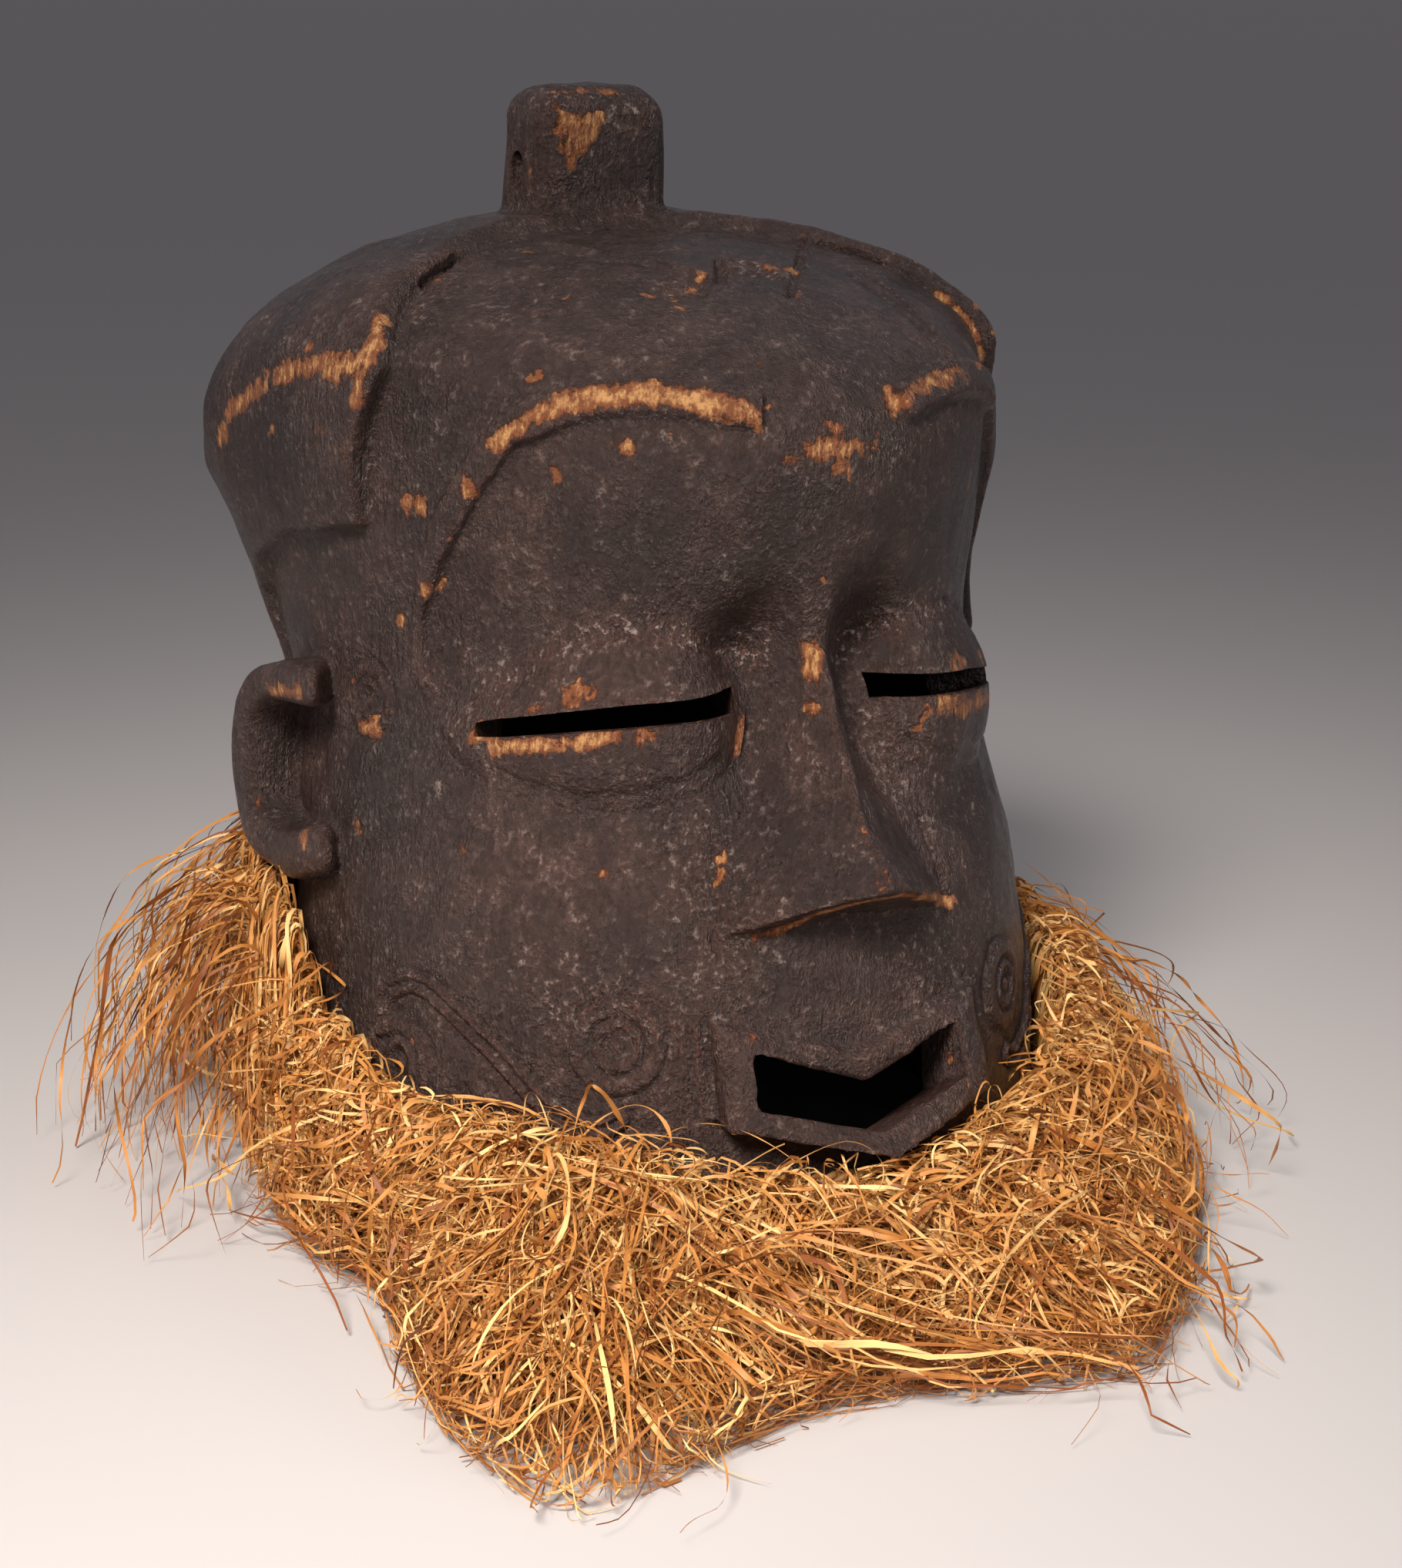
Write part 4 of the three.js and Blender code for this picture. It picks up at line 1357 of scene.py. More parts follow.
    def carve(self, body: bpy.types.Object) -> None:
        """Adds the low relief: circles, scrolls, hollows, cuts and tool marks.

        Args:
            body: The fused body.
        """
        mesh = body.data
        edges = edges_of(mesh)
        traced = [(stroke, self.trace(body, stroke)) for stroke in STROKES]
        points = relaxed(points_of(mesh), edges, 2)
        move_points(mesh, points)
        normals = normals_of(mesh)
        lift = np.zeros(len(points))
        for ring in self.rings:
            for side in (-1, 1) if ring.both else (1,):
                centre = self.form.point(side * math.radians(ring.angle), ring.level)
                gap = np.linalg.norm(points - centre, axis=1)
                near = gap < ring.radius * 1.3
                lift[near] += ring.relief(gap[near])
        line = self.form.point(*self.traced_path(self.scroll, 160))
        shares = (0.0, 0.2, 0.52, 0.85, 1.05, 1.25, 1.5)
        heights = (-0.2, 0.1, 1.0, 0.7, -0.25, -0.4, 0.0)
        outer = shares[-1]
        for mirror in (np.ones(3), MIRROR):
            near, share = self.closeness(points, line * mirror, self.scroll_half * outer)
            lift[near] += 1.5 * through(shares, heights, share * outer)
        x, y, z = points.T
        front = smoothstep(-40.0, -70.0, y)
        lift += 1.4 * np.exp(-((x / 9.0) ** 2)) * smoothstep(178, 200, z) * smoothstep(252, 236, z) * front
        beside = np.exp(-(((np.abs(x) - 22.0) / 11.0) ** 2) - ((z - 187.0) / 13.0) ** 2)
        lift -= 2.2 * beside * front
        hollow = np.exp(-(((np.abs(x) - 58.0) / 34.0) ** 2) - ((z - 128.0) / 9.0) ** 2)
        lift -= 1.6 * hollow * front
        flutes = smoothstep(318, 310, z) * smoothstep(294, 299, z) * smoothstep(56.0, 53.0, y)
        lift -= 0.7 * np.abs(np.sin(x * np.pi / 4.4 + 0.6)) * flutes * (np.abs(x) < 24)
        for stroke, lines in traced:
            if stroke.kind is not Mark.CUT:
                continue
            for line in lines:
                near, share = self.closeness(points, line, stroke.radius)
                lift[near] -= stroke.strength * (1 - share**2) ** 1.5
        calm = np.clip(1 - np.abs(z - 2) / 6, 0, 1)
        tool = 0.42 * Waves(34, 20, 11, (1.0, 1.0, 0.6)).at(points)
        tool += 0.2 * Waves(12, 24, 12, (1.0, 1.0, 0.5)).at(points)
        tool += 0.07 * Waves(4.6, 26, 13, (1.0, 1.0, 0.4)).at(points)
        lift += tool * (1 - calm)
        points += normals * lift[:, None]
        move_points(mesh, points)

    def cut_through(self, body: bpy.types.Object) -> bpy.types.Object:
        """Hollows the body and opens eyes, mouth and holes.

        Args:
            body: The carved body.

        Returns:
            The finished body.
        """
        _, opening = self.mouth()
        slit = self.slit()
        body = cut(body, merged([opening, slit, slit.mirrored(), self.holes()]))
        half = 300.0
        corners = [(-half, -half), (half, -half), (half, half), (-half, half)]
        floor = loft(np.array([[(x, y, z) for x, y in corners] for z in (-30.0, 0.0)]))
        return cut(cut(body, floor), self.hollow())

    def wear(self, mesh: bpy.types.Mesh, traced: list) -> dict[str, np.ndarray]:
        """Works out where the wood is worn, dusty or hollow.

        Args:
            mesh: The dense mesh.
            traced: Strokes with their lines on the wood.

        Returns:
            Values for each corner by name.
        """
        points, edges = points_of(mesh), edges_of(mesh)
        normals = normals_of(mesh)
        near_mean = relaxed(points, edges, 6)
        wide_mean = relaxed(near_mean, edges, 40)
        fine = np.einsum("ij,ij->i", near_mean - points, normals)
        wide = np.einsum("ij,ij->i", wide_mean - points, normals)
        values = {
            "hollow": np.clip(fine / 0.45 + wide / 2.6, 0, 1),
            "edge": np.clip(-fine / 0.5 - wide / 3.2, 0, 1),
            "worn": np.zeros(len(points)),
            "dust": np.zeros(len(points)),
        }
        for stroke, lines in traced:
            if stroke.kind is Mark.CUT:
                continue
            for line in lines:
                near, share = self.closeness(points, line, stroke.radius * 1.5)
                grown = stroke.strength * (1 - share)
                name = stroke.kind.value
                values[name][near] = np.maximum(values[name][near], grown)
        return values

    def build(self) -> bpy.types.Object:
        """Carves the helmet.

        Returns:
            The finished object, still in the mask's millimetres.
        """
        body = self.blank()
        self.carve(body)
        traced = [(stroke, self.trace(body, stroke)) for stroke in STROKES]
        body = self.cut_through(body)
        log.info("helmet before thinning: %d corners", len(body.data.vertices))
        values = self.wear(body.data, traced)
        dense = points_of(body.data)
        tree = KDTree(len(dense))
        for number, place in enumerate(dense):
            tree.insert(place, number)
        tree.balance()
        body.data.calc_loop_triangles()
        step = body.modifiers.new("thin", "DECIMATE")
        step.ratio = self.faces / len(body.data.loop_triangles)
        step.use_collapse_triangulate = True
        body = baked(body, "carved_helmet")
        nearest = np.array([tree.find(place)[1] for place in points_of(body.data)])
        for name, value in values.items():
            layer = body.data.attributes.new(name, "FLOAT", "POINT")
            layer.data.foreach_set("value", np.ascontiguousarray(value[nearest], np.float32))
        body.data.shade_smooth()
        body.data.set_sharp_from_angle(angle=math.radians(self.crease))
        return body


# Raffia


@dataclass(frozen=True)
class Strands:
    """Centre lines of flat strips with what each needs to be swept.

    Attributes:
        points: Array of strips, each a row of points in mm.
        width: Width of each point's strip in mm.
        tilt: Turn of the strip at each point in radians.
        depth_shading_and_tone: Tone of each strip, from 0 for deep orange to 1 for pale straw; in the
            fringe it also holds painted shading that darkens the strips deeper in the mass.
    """

    points: np.ndarray
    width: np.ndarray
    tilt: np.ndarray
    depth_shading_and_tone: np.ndarray

    def part(self, chosen: np.ndarray) -> "Strands":
        """Some of the strips."""
        return Strands(self.points[chosen], self.width[chosen], self.tilt[chosen], self.depth_shading_and_tone[chosen])

    def joined(self, other: "Strands") -> "Strands":
        """These strips and others.

        Args:
            other: The others, with as many points each.

        Returns:
            All of them.
        """
        return Strands(*(
            np.concatenate([getattr(self, name), getattr(other, name)])
            for name in ("points", "width", "tilt", "depth_shading_and_tone")
        ))

    def wire(self, name: str, place: Callable[[np.ndarray], np.ndarray]) -> bpy.types.Object:
        """Makes the centre lines as a mesh of edges with attributes.

        Args:
            name: Name of the object.
            place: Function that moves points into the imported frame.

        Returns:
            The object.
        """
        count, steps = self.points.shape[:2]
        mesh = bpy.data.meshes.new(name)
        mesh.vertices.add(count * steps)
        mesh.vertices.foreach_set("co", place(self.points.reshape(-1, 3)).astype(np.float32).ravel())
        grid = np.arange(count * steps, dtype=np.int32).reshape(count, steps)
        pairs = np.stack([grid[:, :-1], grid[:, 1:]], -1).reshape(-1, 2)
        mesh.edges.add(len(pairs))
        mesh.edges.foreach_set("vertices", np.ascontiguousarray(pairs).ravel())
        legs = np.diff(self.points, axis=1, prepend=self.points[:, :1])
        along = np.cumsum(np.linalg.norm(legs, axis=2), 1)
        rows = {
            "width": self.width * MM,
            "tilt": self.tilt,
            "depth_shading_and_tone": np.repeat(self.depth_shading_and_tone[:, None], steps, 1),
            "along": along * MM,
        }
        for key, value in rows.items():
            layer = mesh.attributes.new(key, "FLOAT", "POINT")
            layer.data.foreach_set("value", np.ascontiguousarray(value, np.float32).ravel())
        mesh.update()
        return add_object(name, mesh)


@dataclass(frozen=True)
class FringeForm:
    """How far the raffia reaches and how high it rolls, by angle from the face.

    Attributes:
        reach: Pairs of an angle in degrees and the reach of the thick mass in mm.
        far: Pairs of an angle in degrees and the reach of the loose strips in mm.
        top: Pairs of an angle in degrees and the height of the roll in mm.
    """

    reach: Stations = (
        (-180, 160), (-145, 160), (-128, 142), (-110, 135), (-95, 137), (-80, 148), (-66, 156), (-57, 166),
        (-50, 200), (-44, 234), (-38, 268), (-34, 286), (-29, 268), (-23, 240), (-17, 224), (-9, 222),
        (0, 230), (6, 236), (14, 216), (35, 182), (60, 164), (76, 166), (95, 172), (111, 172), (145, 166),
        (180, 160),
    )
    far: Stations = (
        (-180, 190), (-128, 200), (-112, 204), (-95, 196), (-78, 184), (-62, 184), (-49, 216), (-35, 284),
        (-20, 256), (-2, 276), (15, 258), (35, 226), (60, 212), (80, 220), (110, 214), (180, 190),
    )
    top: Stations = (
        (-180, 78), (-128, 92), (-105, 82), (-88, 66), (-72, 50), (-54, 45), (-36, 44),
        (-20, 36), (0, 31), (12, 34), (30, 46), (60, 58), (105, 66), (180, 78),
    )

    @staticmethod
    def at(stations: Stations, angle: np.ndarray) -> np.ndarray:
        """Reads stations at angles."""
        keys, values = zip(*stations)
        return through(keys, values, np.degrees(np.arctan2(np.sin(angle), np.cos(angle))))


@dataclass
class Fringe:
    """The raffia, looped over the lacing and falling to the floor all round.

    Attributes:
        form: Form of the head that it hangs on.
        shape: Its reach and height.
        low: Least x and y of any strip in mm.
        high: Greatest x and y of any strip in mm.
        count: Number of strips in the mass.
        loose: Number of loose strips over it.
        arched: Number of long strips that arch out over it to the floor.
        locks: Number of locks that neighbouring strips fall together in.
        steps: Points of each strip.
        seed: Seed of every random choice.
        parting: Place and half width in degrees of the parting before the mouth.
        gap: Least distance of a strip from the wood.
        give: Share kept of what a strip would reach past the fringe's outline.
        springing: Place and spread in degrees of the place where long strips spring up.
        springing_share: Share of the long strips that start there.
        full_spread: Spread in mm over which the mass has its full thickness.
        waves: Wavelengths in mm of the strips' waves with their shares.
        width: Middle, spread, least and greatest width of the strips in mm.
        depth_shading_and_tone: Tone at the bottom of the mass, its rise to the top, which is painted
            shading that darkens the deeper strips, and the spread of the strips' own tone.
    """

    form: HeadForm
    shape: FringeForm
    low: tuple[float, float] = (-217.0, -289.0)
    high: tuple[float, float] = (223.0, 214.0)
    count: int = 10400
    loose: int = 3900
    arched: int = 520
    locks: int = 46
    steps: int = 26
    seed: int = 20
    parting: tuple[float, float] = (-13.0, 6.5)
    gap: float = 2.0
    give: float = 0.06
    springing: tuple[float, float] = (-131.0, 15.0)
    springing_share: float = 0.55
    full_spread: float = 56.0
    waves: Stations = ((88.0, 1.0), (40.0, 0.42))
    width: tuple[float, float, float, float] = (0.76, 0.42, 0.38, 2.1)
    depth_shading_and_tone: tuple[float, float, float] = (0.03, 0.62, 0.2)

    def angles(self, rng: np.random.Generator, count: int) -> np.ndarray:
        """Start angles, even along the rim but for a parting in front of the mouth.

        Args:
            rng: Source of chance.
            count: How many.

        Returns:
            Angles in radians.
        """
        angle = rng.uniform(-np.pi, np.pi, count)
        middle, width = np.radians(self.parting)
        off = (angle - middle) / width
        return angle + 1.6 * width * np.tanh(off) * np.exp(-((off / 3) ** 2))

    def along(self) -> np.ndarray:
        """Places along a strip from 0 to 1, one for each of its points."""
        return np.linspace(0, 1, self.steps)

    def rim(self, start: np.ndarray) -> np.ndarray:
        """Distances of the rim from its middle, at angles in radians."""
        foot = self.form.wall(start, 0.0)
        return np.hypot(foot[:, 0], foot[:, 1])

    def out_of_wood(self, points: np.ndarray) -> np.ndarray:
        """Keeps strips outside the wall and above the floor.

        Args:
            points: Points in mm.

        Returns:
            The corrected points.
        """
        x, y, z = points[..., 0], points[..., 1], np.maximum(points[..., 2], 0.5)
        middle = through(self.form.heights, self.form.middle, z)
        angle = np.arctan2(x, middle - y)
        wall = self.form.wall(angle, z, self.gap)
        radius = np.hypot(x, y - middle)
        least = np.hypot(wall[..., 0], wall[..., 1] - middle)
        scale = np.maximum(least / np.maximum(radius, 1e-6), 1.0)
        return np.stack([x * scale, middle + (y - middle) * scale, z], -1)

    def mass(self, rng: np.random.Generator) -> Strands:
        """The strips of the mass, layer over layer.

        Args:
            rng: Source of chance.

        Returns:
            The strips.
        """
        n = self.count
        start = self.angles(rng, n)
        lock = ((start / (2 * np.pi) + 0.5) * self.locks + rng.normal(0, 0.35, n)).astype(int) % self.locks
        centre = ((lock + 0.5) / self.locks - 0.5) * 2 * np.pi
        layer = rng.uniform(0, 1, n) ** 0.8
        wild = rng.uniform(0, 1, n) < 0.3
        top = self.shape.at(self.shape.top, start) * (1 + rng.normal(0, 0.07, self.locks)[lock])
        rim = self.rim(start)
        spread = self.shape.at(self.shape.reach, start) - rim
        length = rng.normal(1.0, 0.1, self.locks)[lock] * rng.uniform(0.3, 1.1, n) ** 0.6
        length = np.clip(length, 0.3, 1.06)
        rise = np.maximum(lerp(0.42, 1.02, layer) * top + rng.normal(0, 2.0, n), 14.0)
        keys = np.array([0.0, 0.09, 0.19, 0.31, 0.53, 0.76, 0.92, 1.0])
        snug = np.clip(spread / self.full_spread, 0.42, 1.0)
        outs = np.stack([
            rng.uniform(2.5, 6.0, n),
            4.0 + snug * (4.0 * layer + rng.uniform(-1, 3, n)),
            snug * (12.0 + 6.0 * layer + rng.uniform(-2, 3, n)),
            snug * (24.0 + 8.0 * layer + rng.uniform(-4, 5, n)),
            0.47 * spread, 0.73 * spread, 0.93 * spread, spread,
        ], 1)
        outs[:, 4:] = np.maximum(outs[:, 4:], outs[:, 3:4] + np.array([3.0, 6.0, 8.0, 10.0]))
        outs[:, 4:] = outs[:, 3:4] + (outs[:, 4:] - outs[:, 3:4]) * length[:, None]
        level = lerp(0.15, 1.0, layer)
        heights = np.stack([
            rng.uniform(20, 30, n), lerp(24.0, rise, 0.62), rise, rise * 0.97,
            top * 0.70 * level + 2, top * 0.40 * level + 2, 9.0 * level + 1.5, rng.uniform(0.6, 5.0, n),
        ], 1)
        out, z = self.smooth_rows(keys, outs), self.smooth_rows(keys, heights)
        at = self.along()
        radius = rim + out[:, -1]
        closing = rng.uniform(0.1, 0.8, n) * np.where(wild, 0.2, 1.0)
        sway = rng.normal(0, 12, self.locks)[lock] + rng.normal(0, 8, n)
        side = ((centre - start) * radius * closing + sway)[:, None] * at**1.6
        size = np.where(wild, 2.0, 0.9)[:, None]
        side += size * self.wander(rng, n, 6, 2.4)
        z += 0.5 * size * self.wander(rng, n, 6, 2.0) * (1 - at) ** 0.4
        out += 0.5 * size * self.wander(rng, n, 5, 2.4) * snug[:, None]
        stray = rng.normal(0, 1, n) * np.where(rng.uniform(0, 1, n) < 0.4, 0.75, 0.22) * snug
        side += (stray * spread)[:, None] * np.clip((at - 0.3) / 0.7, 0, 1) ** 1.5
        grow = smoothstep(0.05, 0.5, at) * snug[:, None] ** 0.5
        for wave, share in self.waves:
            amount = rng.gamma(2.0, 3.1, n)[:, None] * share * size * grow
            turns = ((out[:, -1] + 40.0) / wave * rng.uniform(0.6, 1.5, n))[:, None] * 2 * np.pi * at
            side += amount * np.sin(turns + phases(rng, n))
            z += 0.55 * amount * np.sin(turns + phases(rng, n))
        side += rng.normal(0, 10, n)[:, None] * np.clip((at - 0.65) / 0.35, 0, 1) ** 2
        slack = rng.gamma(1.0, 2.6, n)
        return self.dressed(rng, self.laid(rng, start, out, side, z, slack), layer)

    def smooth_rows(self, keys: np.ndarray, rows: np.ndarray) -> np.ndarray:
        """Smooth curve through the stations of each strip.

        Args:
            keys: Keys of the stations from 0 to 1.
            rows: A row of stations for each strip.

        Returns:
            A row of values for each strip, one for each of its points.
        """
        made = np.empty((len(rows), self.steps))
        for j, t in enumerate(self.along()):
            i = int(np.clip(np.searchsorted(keys, t, side="right") - 1, 0, len(keys) - 2))
            step = keys[i + 1] - keys[i]
            s = (t - keys[i]) / step
            before, after = max(i - 1, 0), min(i + 2, len(keys) - 1)
            first = (rows[:, i + 1] - rows[:, before]) / (keys[i + 1] - keys[before]) * step
            last = (rows[:, after] - rows[:, i]) / (keys[after] - keys[i]) * step
            made[:, j] = (
                (2 * s**3 - 3 * s**2 + 1) * rows[:, i] + (s**3 - 2 * s**2 + s) * first
                + (3 * s**2 - 2 * s**3) * rows[:, i + 1] + (s**3 - s**2) * last
            )
        return made

    def wander(self, rng: np.random.Generator, count: int, knots: int, size: float) -> np.ndarray:
        """Random walk with a soft kink at each knot, as dry strips have.

        Args:
            rng: Source of chance.
            count: Number of strips.
            knots: Number of knots.
            size: Size of each leg's drift in mm.

        Returns:
            A row of values for each strip, one for each of its points.
        """
        walk = np.cumsum(rng.normal(0, size, (count, knots)), axis=1)
        walk -= walk[:, :1]
        at = self.along()
        place = at ** rng.uniform(0.75, 1.35, count)[:, None] * (knots - 1)
        i = np.minimum(place.astype(int), knots - 2)
        row = np.arange(count)[:, None]
        return lerp(walk[row, i], walk[row, i + 1], place - i)

    def laid(
        self, rng: np.random.Generator, start: np.ndarray, out: np.ndarray, side: np.ndarray, z: np.ndarray,
        slack: np.ndarray,
    ) -> np.ndarray:
        """Places strips round the rim, off the wood, on the floor and inside the fringe's bounds.

        Args:
            rng: Source of chance.
            start: Start angles.
            out: Distances from the wall.
            side: Distances along the rim.
            z: Heights.
            slack: How far each strip may stand out of the mass in mm.

        Returns:
            Their points.
        """
        n = len(start)
        away = np.stack([np.sin(start), -np.cos(start), np.zeros(n)], 1)
        across = np.stack([np.cos(start), np.sin(start), np.zeros(n)], 1)
        base = self.form.wall(start[:, None], np.clip(z, 0, 60))
        points = base + away[:, None] * out[..., None] + across[:, None] * side[..., None]
        floor = 0.6 + 5.0 * rng.uniform(0, 1, n)[:, None] ** 2 * np.ones(z.shape[1])
        points[..., 2] = np.where(z < floor, floor + (z - floor) * 0.12, z)
        turned = np.arctan2(points[..., 0], -points[..., 1])
        reach = np.maximum(np.hypot(points[..., 0], points[..., 1]), 1.0)
        limit = self.shape.at(self.shape.reach, turned) + slack[:, None]
        points[..., :2] *= np.where(reach > limit, lerp(limit, reach, self.give) / reach, 1.0)[..., None]
        points = self.out_of_wood(points)
        first = points[:, :1, :2]
        way = points[..., :2] - first
        room = np.where(way > 0, np.array(self.high) - first, np.array(self.low) - first)
        moves = np.abs(way) > 1e-6
        share = np.where(moves, room / np.where(moves, way, 1.0), np.inf)
        points[..., :2] = first + way * np.clip(share.min(axis=(1, 2)), 0.0, 1.0)[:, None, None]
        return points

    def dressed(
        self, rng: np.random.Generator, points: np.ndarray, layer: np.ndarray, thin: float = 1.0
    ) -> Strands:
        """Gives strips their width, turn and tone, with painted shading that darkens the strips deeper in
        the mass.

        Args:
            rng: Source of chance.
            points: Centre lines.
            layer: Depth in the mass, 1 on top; deeper strips get darker painted shading.
            thin: Factor on the width.

        Returns:
            The strips.
        """
        n = len(points)
        at = self.along()
        middle, vary, least, most = self.width
        broad = np.clip(rng.lognormal(math.log(middle), vary, n), least, most) * thin
        leaf = rng.uniform(0.2, 0.9, n)[:, None]
        swell = 1 + (rng.uniform(0, 1, n) < 0.10)[:, None] * 0.8 * np.exp(-(((at - leaf) / 0.09) ** 2))
        ripples = 2 * np.pi * at * rng.uniform(2, 6, n)[:, None] + rng.uniform(0, 6, n)[:, None]
        ripple = 1 + 0.22 * np.sin(ripples)
        width = broad[:, None] * swell * ripple * (1 - 0.6 * np.clip((at - 0.7) / 0.3, 0, 1) ** 1.5)
        twist = rng.normal(0, 7.0, n)
        tilt = phases(rng, n) + twist[:, None] * at
        tilt += 0.6 * np.sin(2 * np.pi * at * rng.uniform(1, 4, n)[:, None])
        # Painted shading: strips low in the mass get a darker tone and strips on top a paler one; the
        # random spread is the strips' own tone.
        base, rise, vary = self.depth_shading_and_tone
        depth_shading_and_tone = np.clip(base + rise * layer + rng.normal(0, vary, n), 0, 1)
        points[..., 2] = np.maximum(points[..., 2], 0.55 * width + 0.3)
        return Strands(points, width, tilt, depth_shading_and_tone)

    def strays(self, rng: np.random.Generator) -> Strands:
        """Loose strips that loop over the mass and out on the floor.

        Args:
            rng: Source of chance.

        Returns:
            The strips.
        """
        n = self.loose
        at = self.along()
        start = self.angles(rng, n)
        top = self.shape.at(self.shape.top, start)
        spread = self.shape.at(self.shape.reach, start) - self.rim(start)
        first = rng.uniform(0.02, 0.65, n)
        last = np.clip(first + rng.normal(0.4, 0.34, n), 0.05, 1.12)
        out = lerp((first * spread)[:, None], (last * spread)[:, None], at) + 10.0
        share = out / (spread[:, None] + 10.0)
        shares, heights = (0.0, 0.12, 0.3, 0.5, 0.75, 1.0, 1.3), (0.9, 1.04, 0.98, 0.68, 0.38, 0.05, 0.02)
        skin = np.interp(share, shares, heights)
        hump = rng.gamma(1.6, 2.4, n)[:, None] * np.sin(np.pi * at)
        side = rng.normal(0, 1, n)[:, None] * lerp(14.0, 62.0, first)[:, None] * (at - 0.3)
        loop = rng.gamma(1.8, 4.6, n)[:, None]
        turns = 2 * np.pi * rng.uniform(0.4, 1.2, n)[:, None] * at + phases(rng, n)
        out = out + loop * 0.7 * np.sin(turns) * np.sin(np.pi * at) + self.wander(rng, n, 5, 2.4)
        side = side + loop * np.cos(turns) + self.wander(rng, n, 5, 3.0)
        z = top[:, None] * skin + hump + 1.5 + rng.gamma(1.5, 1.5, n)[:, None] * np.sin(1.7 * turns)
        slack = rng.gamma(1.2, 3.0, n) * np.where(rng.uniform(0, 1, n) < 0.05, 6.0, 1.0)
        return self.dressed(rng, self.laid(rng, start, out, side, z, slack), rng.uniform(0.5, 1.1, n), 0.85)

    def fountain(self, rng: np.random.Generator) -> Strands:
        """Long strips that spring up from the rim and arch out to the floor, clear of the mass.

        Args:
            rng: Source of chance.

        Returns:
            The strips.
        """
        n = self.arched
        at = self.along()
        here = rng.uniform(0, 1, n) < self.springing_share
        start = np.where(here, np.radians(rng.normal(*self.springing, n)), self.angles(rng, n))
        top = self.shape.at(self.shape.top, start) * rng.uniform(0.72, 1.06, n)
        near = self.shape.at(self.shape.reach, start)
        far = lerp(near, self.shape.at(self.shape.far, start), rng.uniform(0.05, 1.0, n))
        spread = far - self.rim(start)
        keys = np.array([0.0, 0.08, 0.2, 0.36, 0.56, 0.78, 1.0])
        bow = rng.uniform(0.55, 1.1, n)
        outs = [np.full(n, 3.0), np.full(n, 8.0)]
        outs = np.stack(outs + [spread * share for share in (0.26, 0.5, 0.73, 0.9, 1.0)], 1)
        heights = np.stack([
            np.full(n, 24.0), 0.66 * top, top, 0.98 * top * bow**0.12, 0.84 * top * bow**0.5,
            0.52 * top * bow, rng.uniform(0.6, 3.0, n),
        ], 1)
        out, z = self.smooth_rows(keys, outs), self.smooth_rows(keys, heights)
        side = rng.normal(0, 20, n)[:, None] * at**1.4 + self.wander(rng, n, 7, 8.0)
        out = out + self.wander(rng, n, 7, 4.0)
        z = z + self.wander(rng, n, 6, 2.0) * (1 - at)
        curl = rng.gamma(1.8, 4.2, n)[:, None] * at**2
        turns = 2 * np.pi * rng.uniform(0.6, 1.6, n)[:, None] * at + phases(rng, n)
        side, out = side + curl * np.sin(turns), out + curl * np.cos(turns)
        points = self.laid(rng, start, out, side, z, far - near + 10.0)
        return self.dressed(rng, points, rng.uniform(0.1, 0.9, n), 0.9)

    def build(self) -> Strands:
        """Makes all strips."""
        rng = np.random.default_rng(self.seed)
        return self.mass(rng).joined(self.strays(rng)).joined(self.fountain(rng))


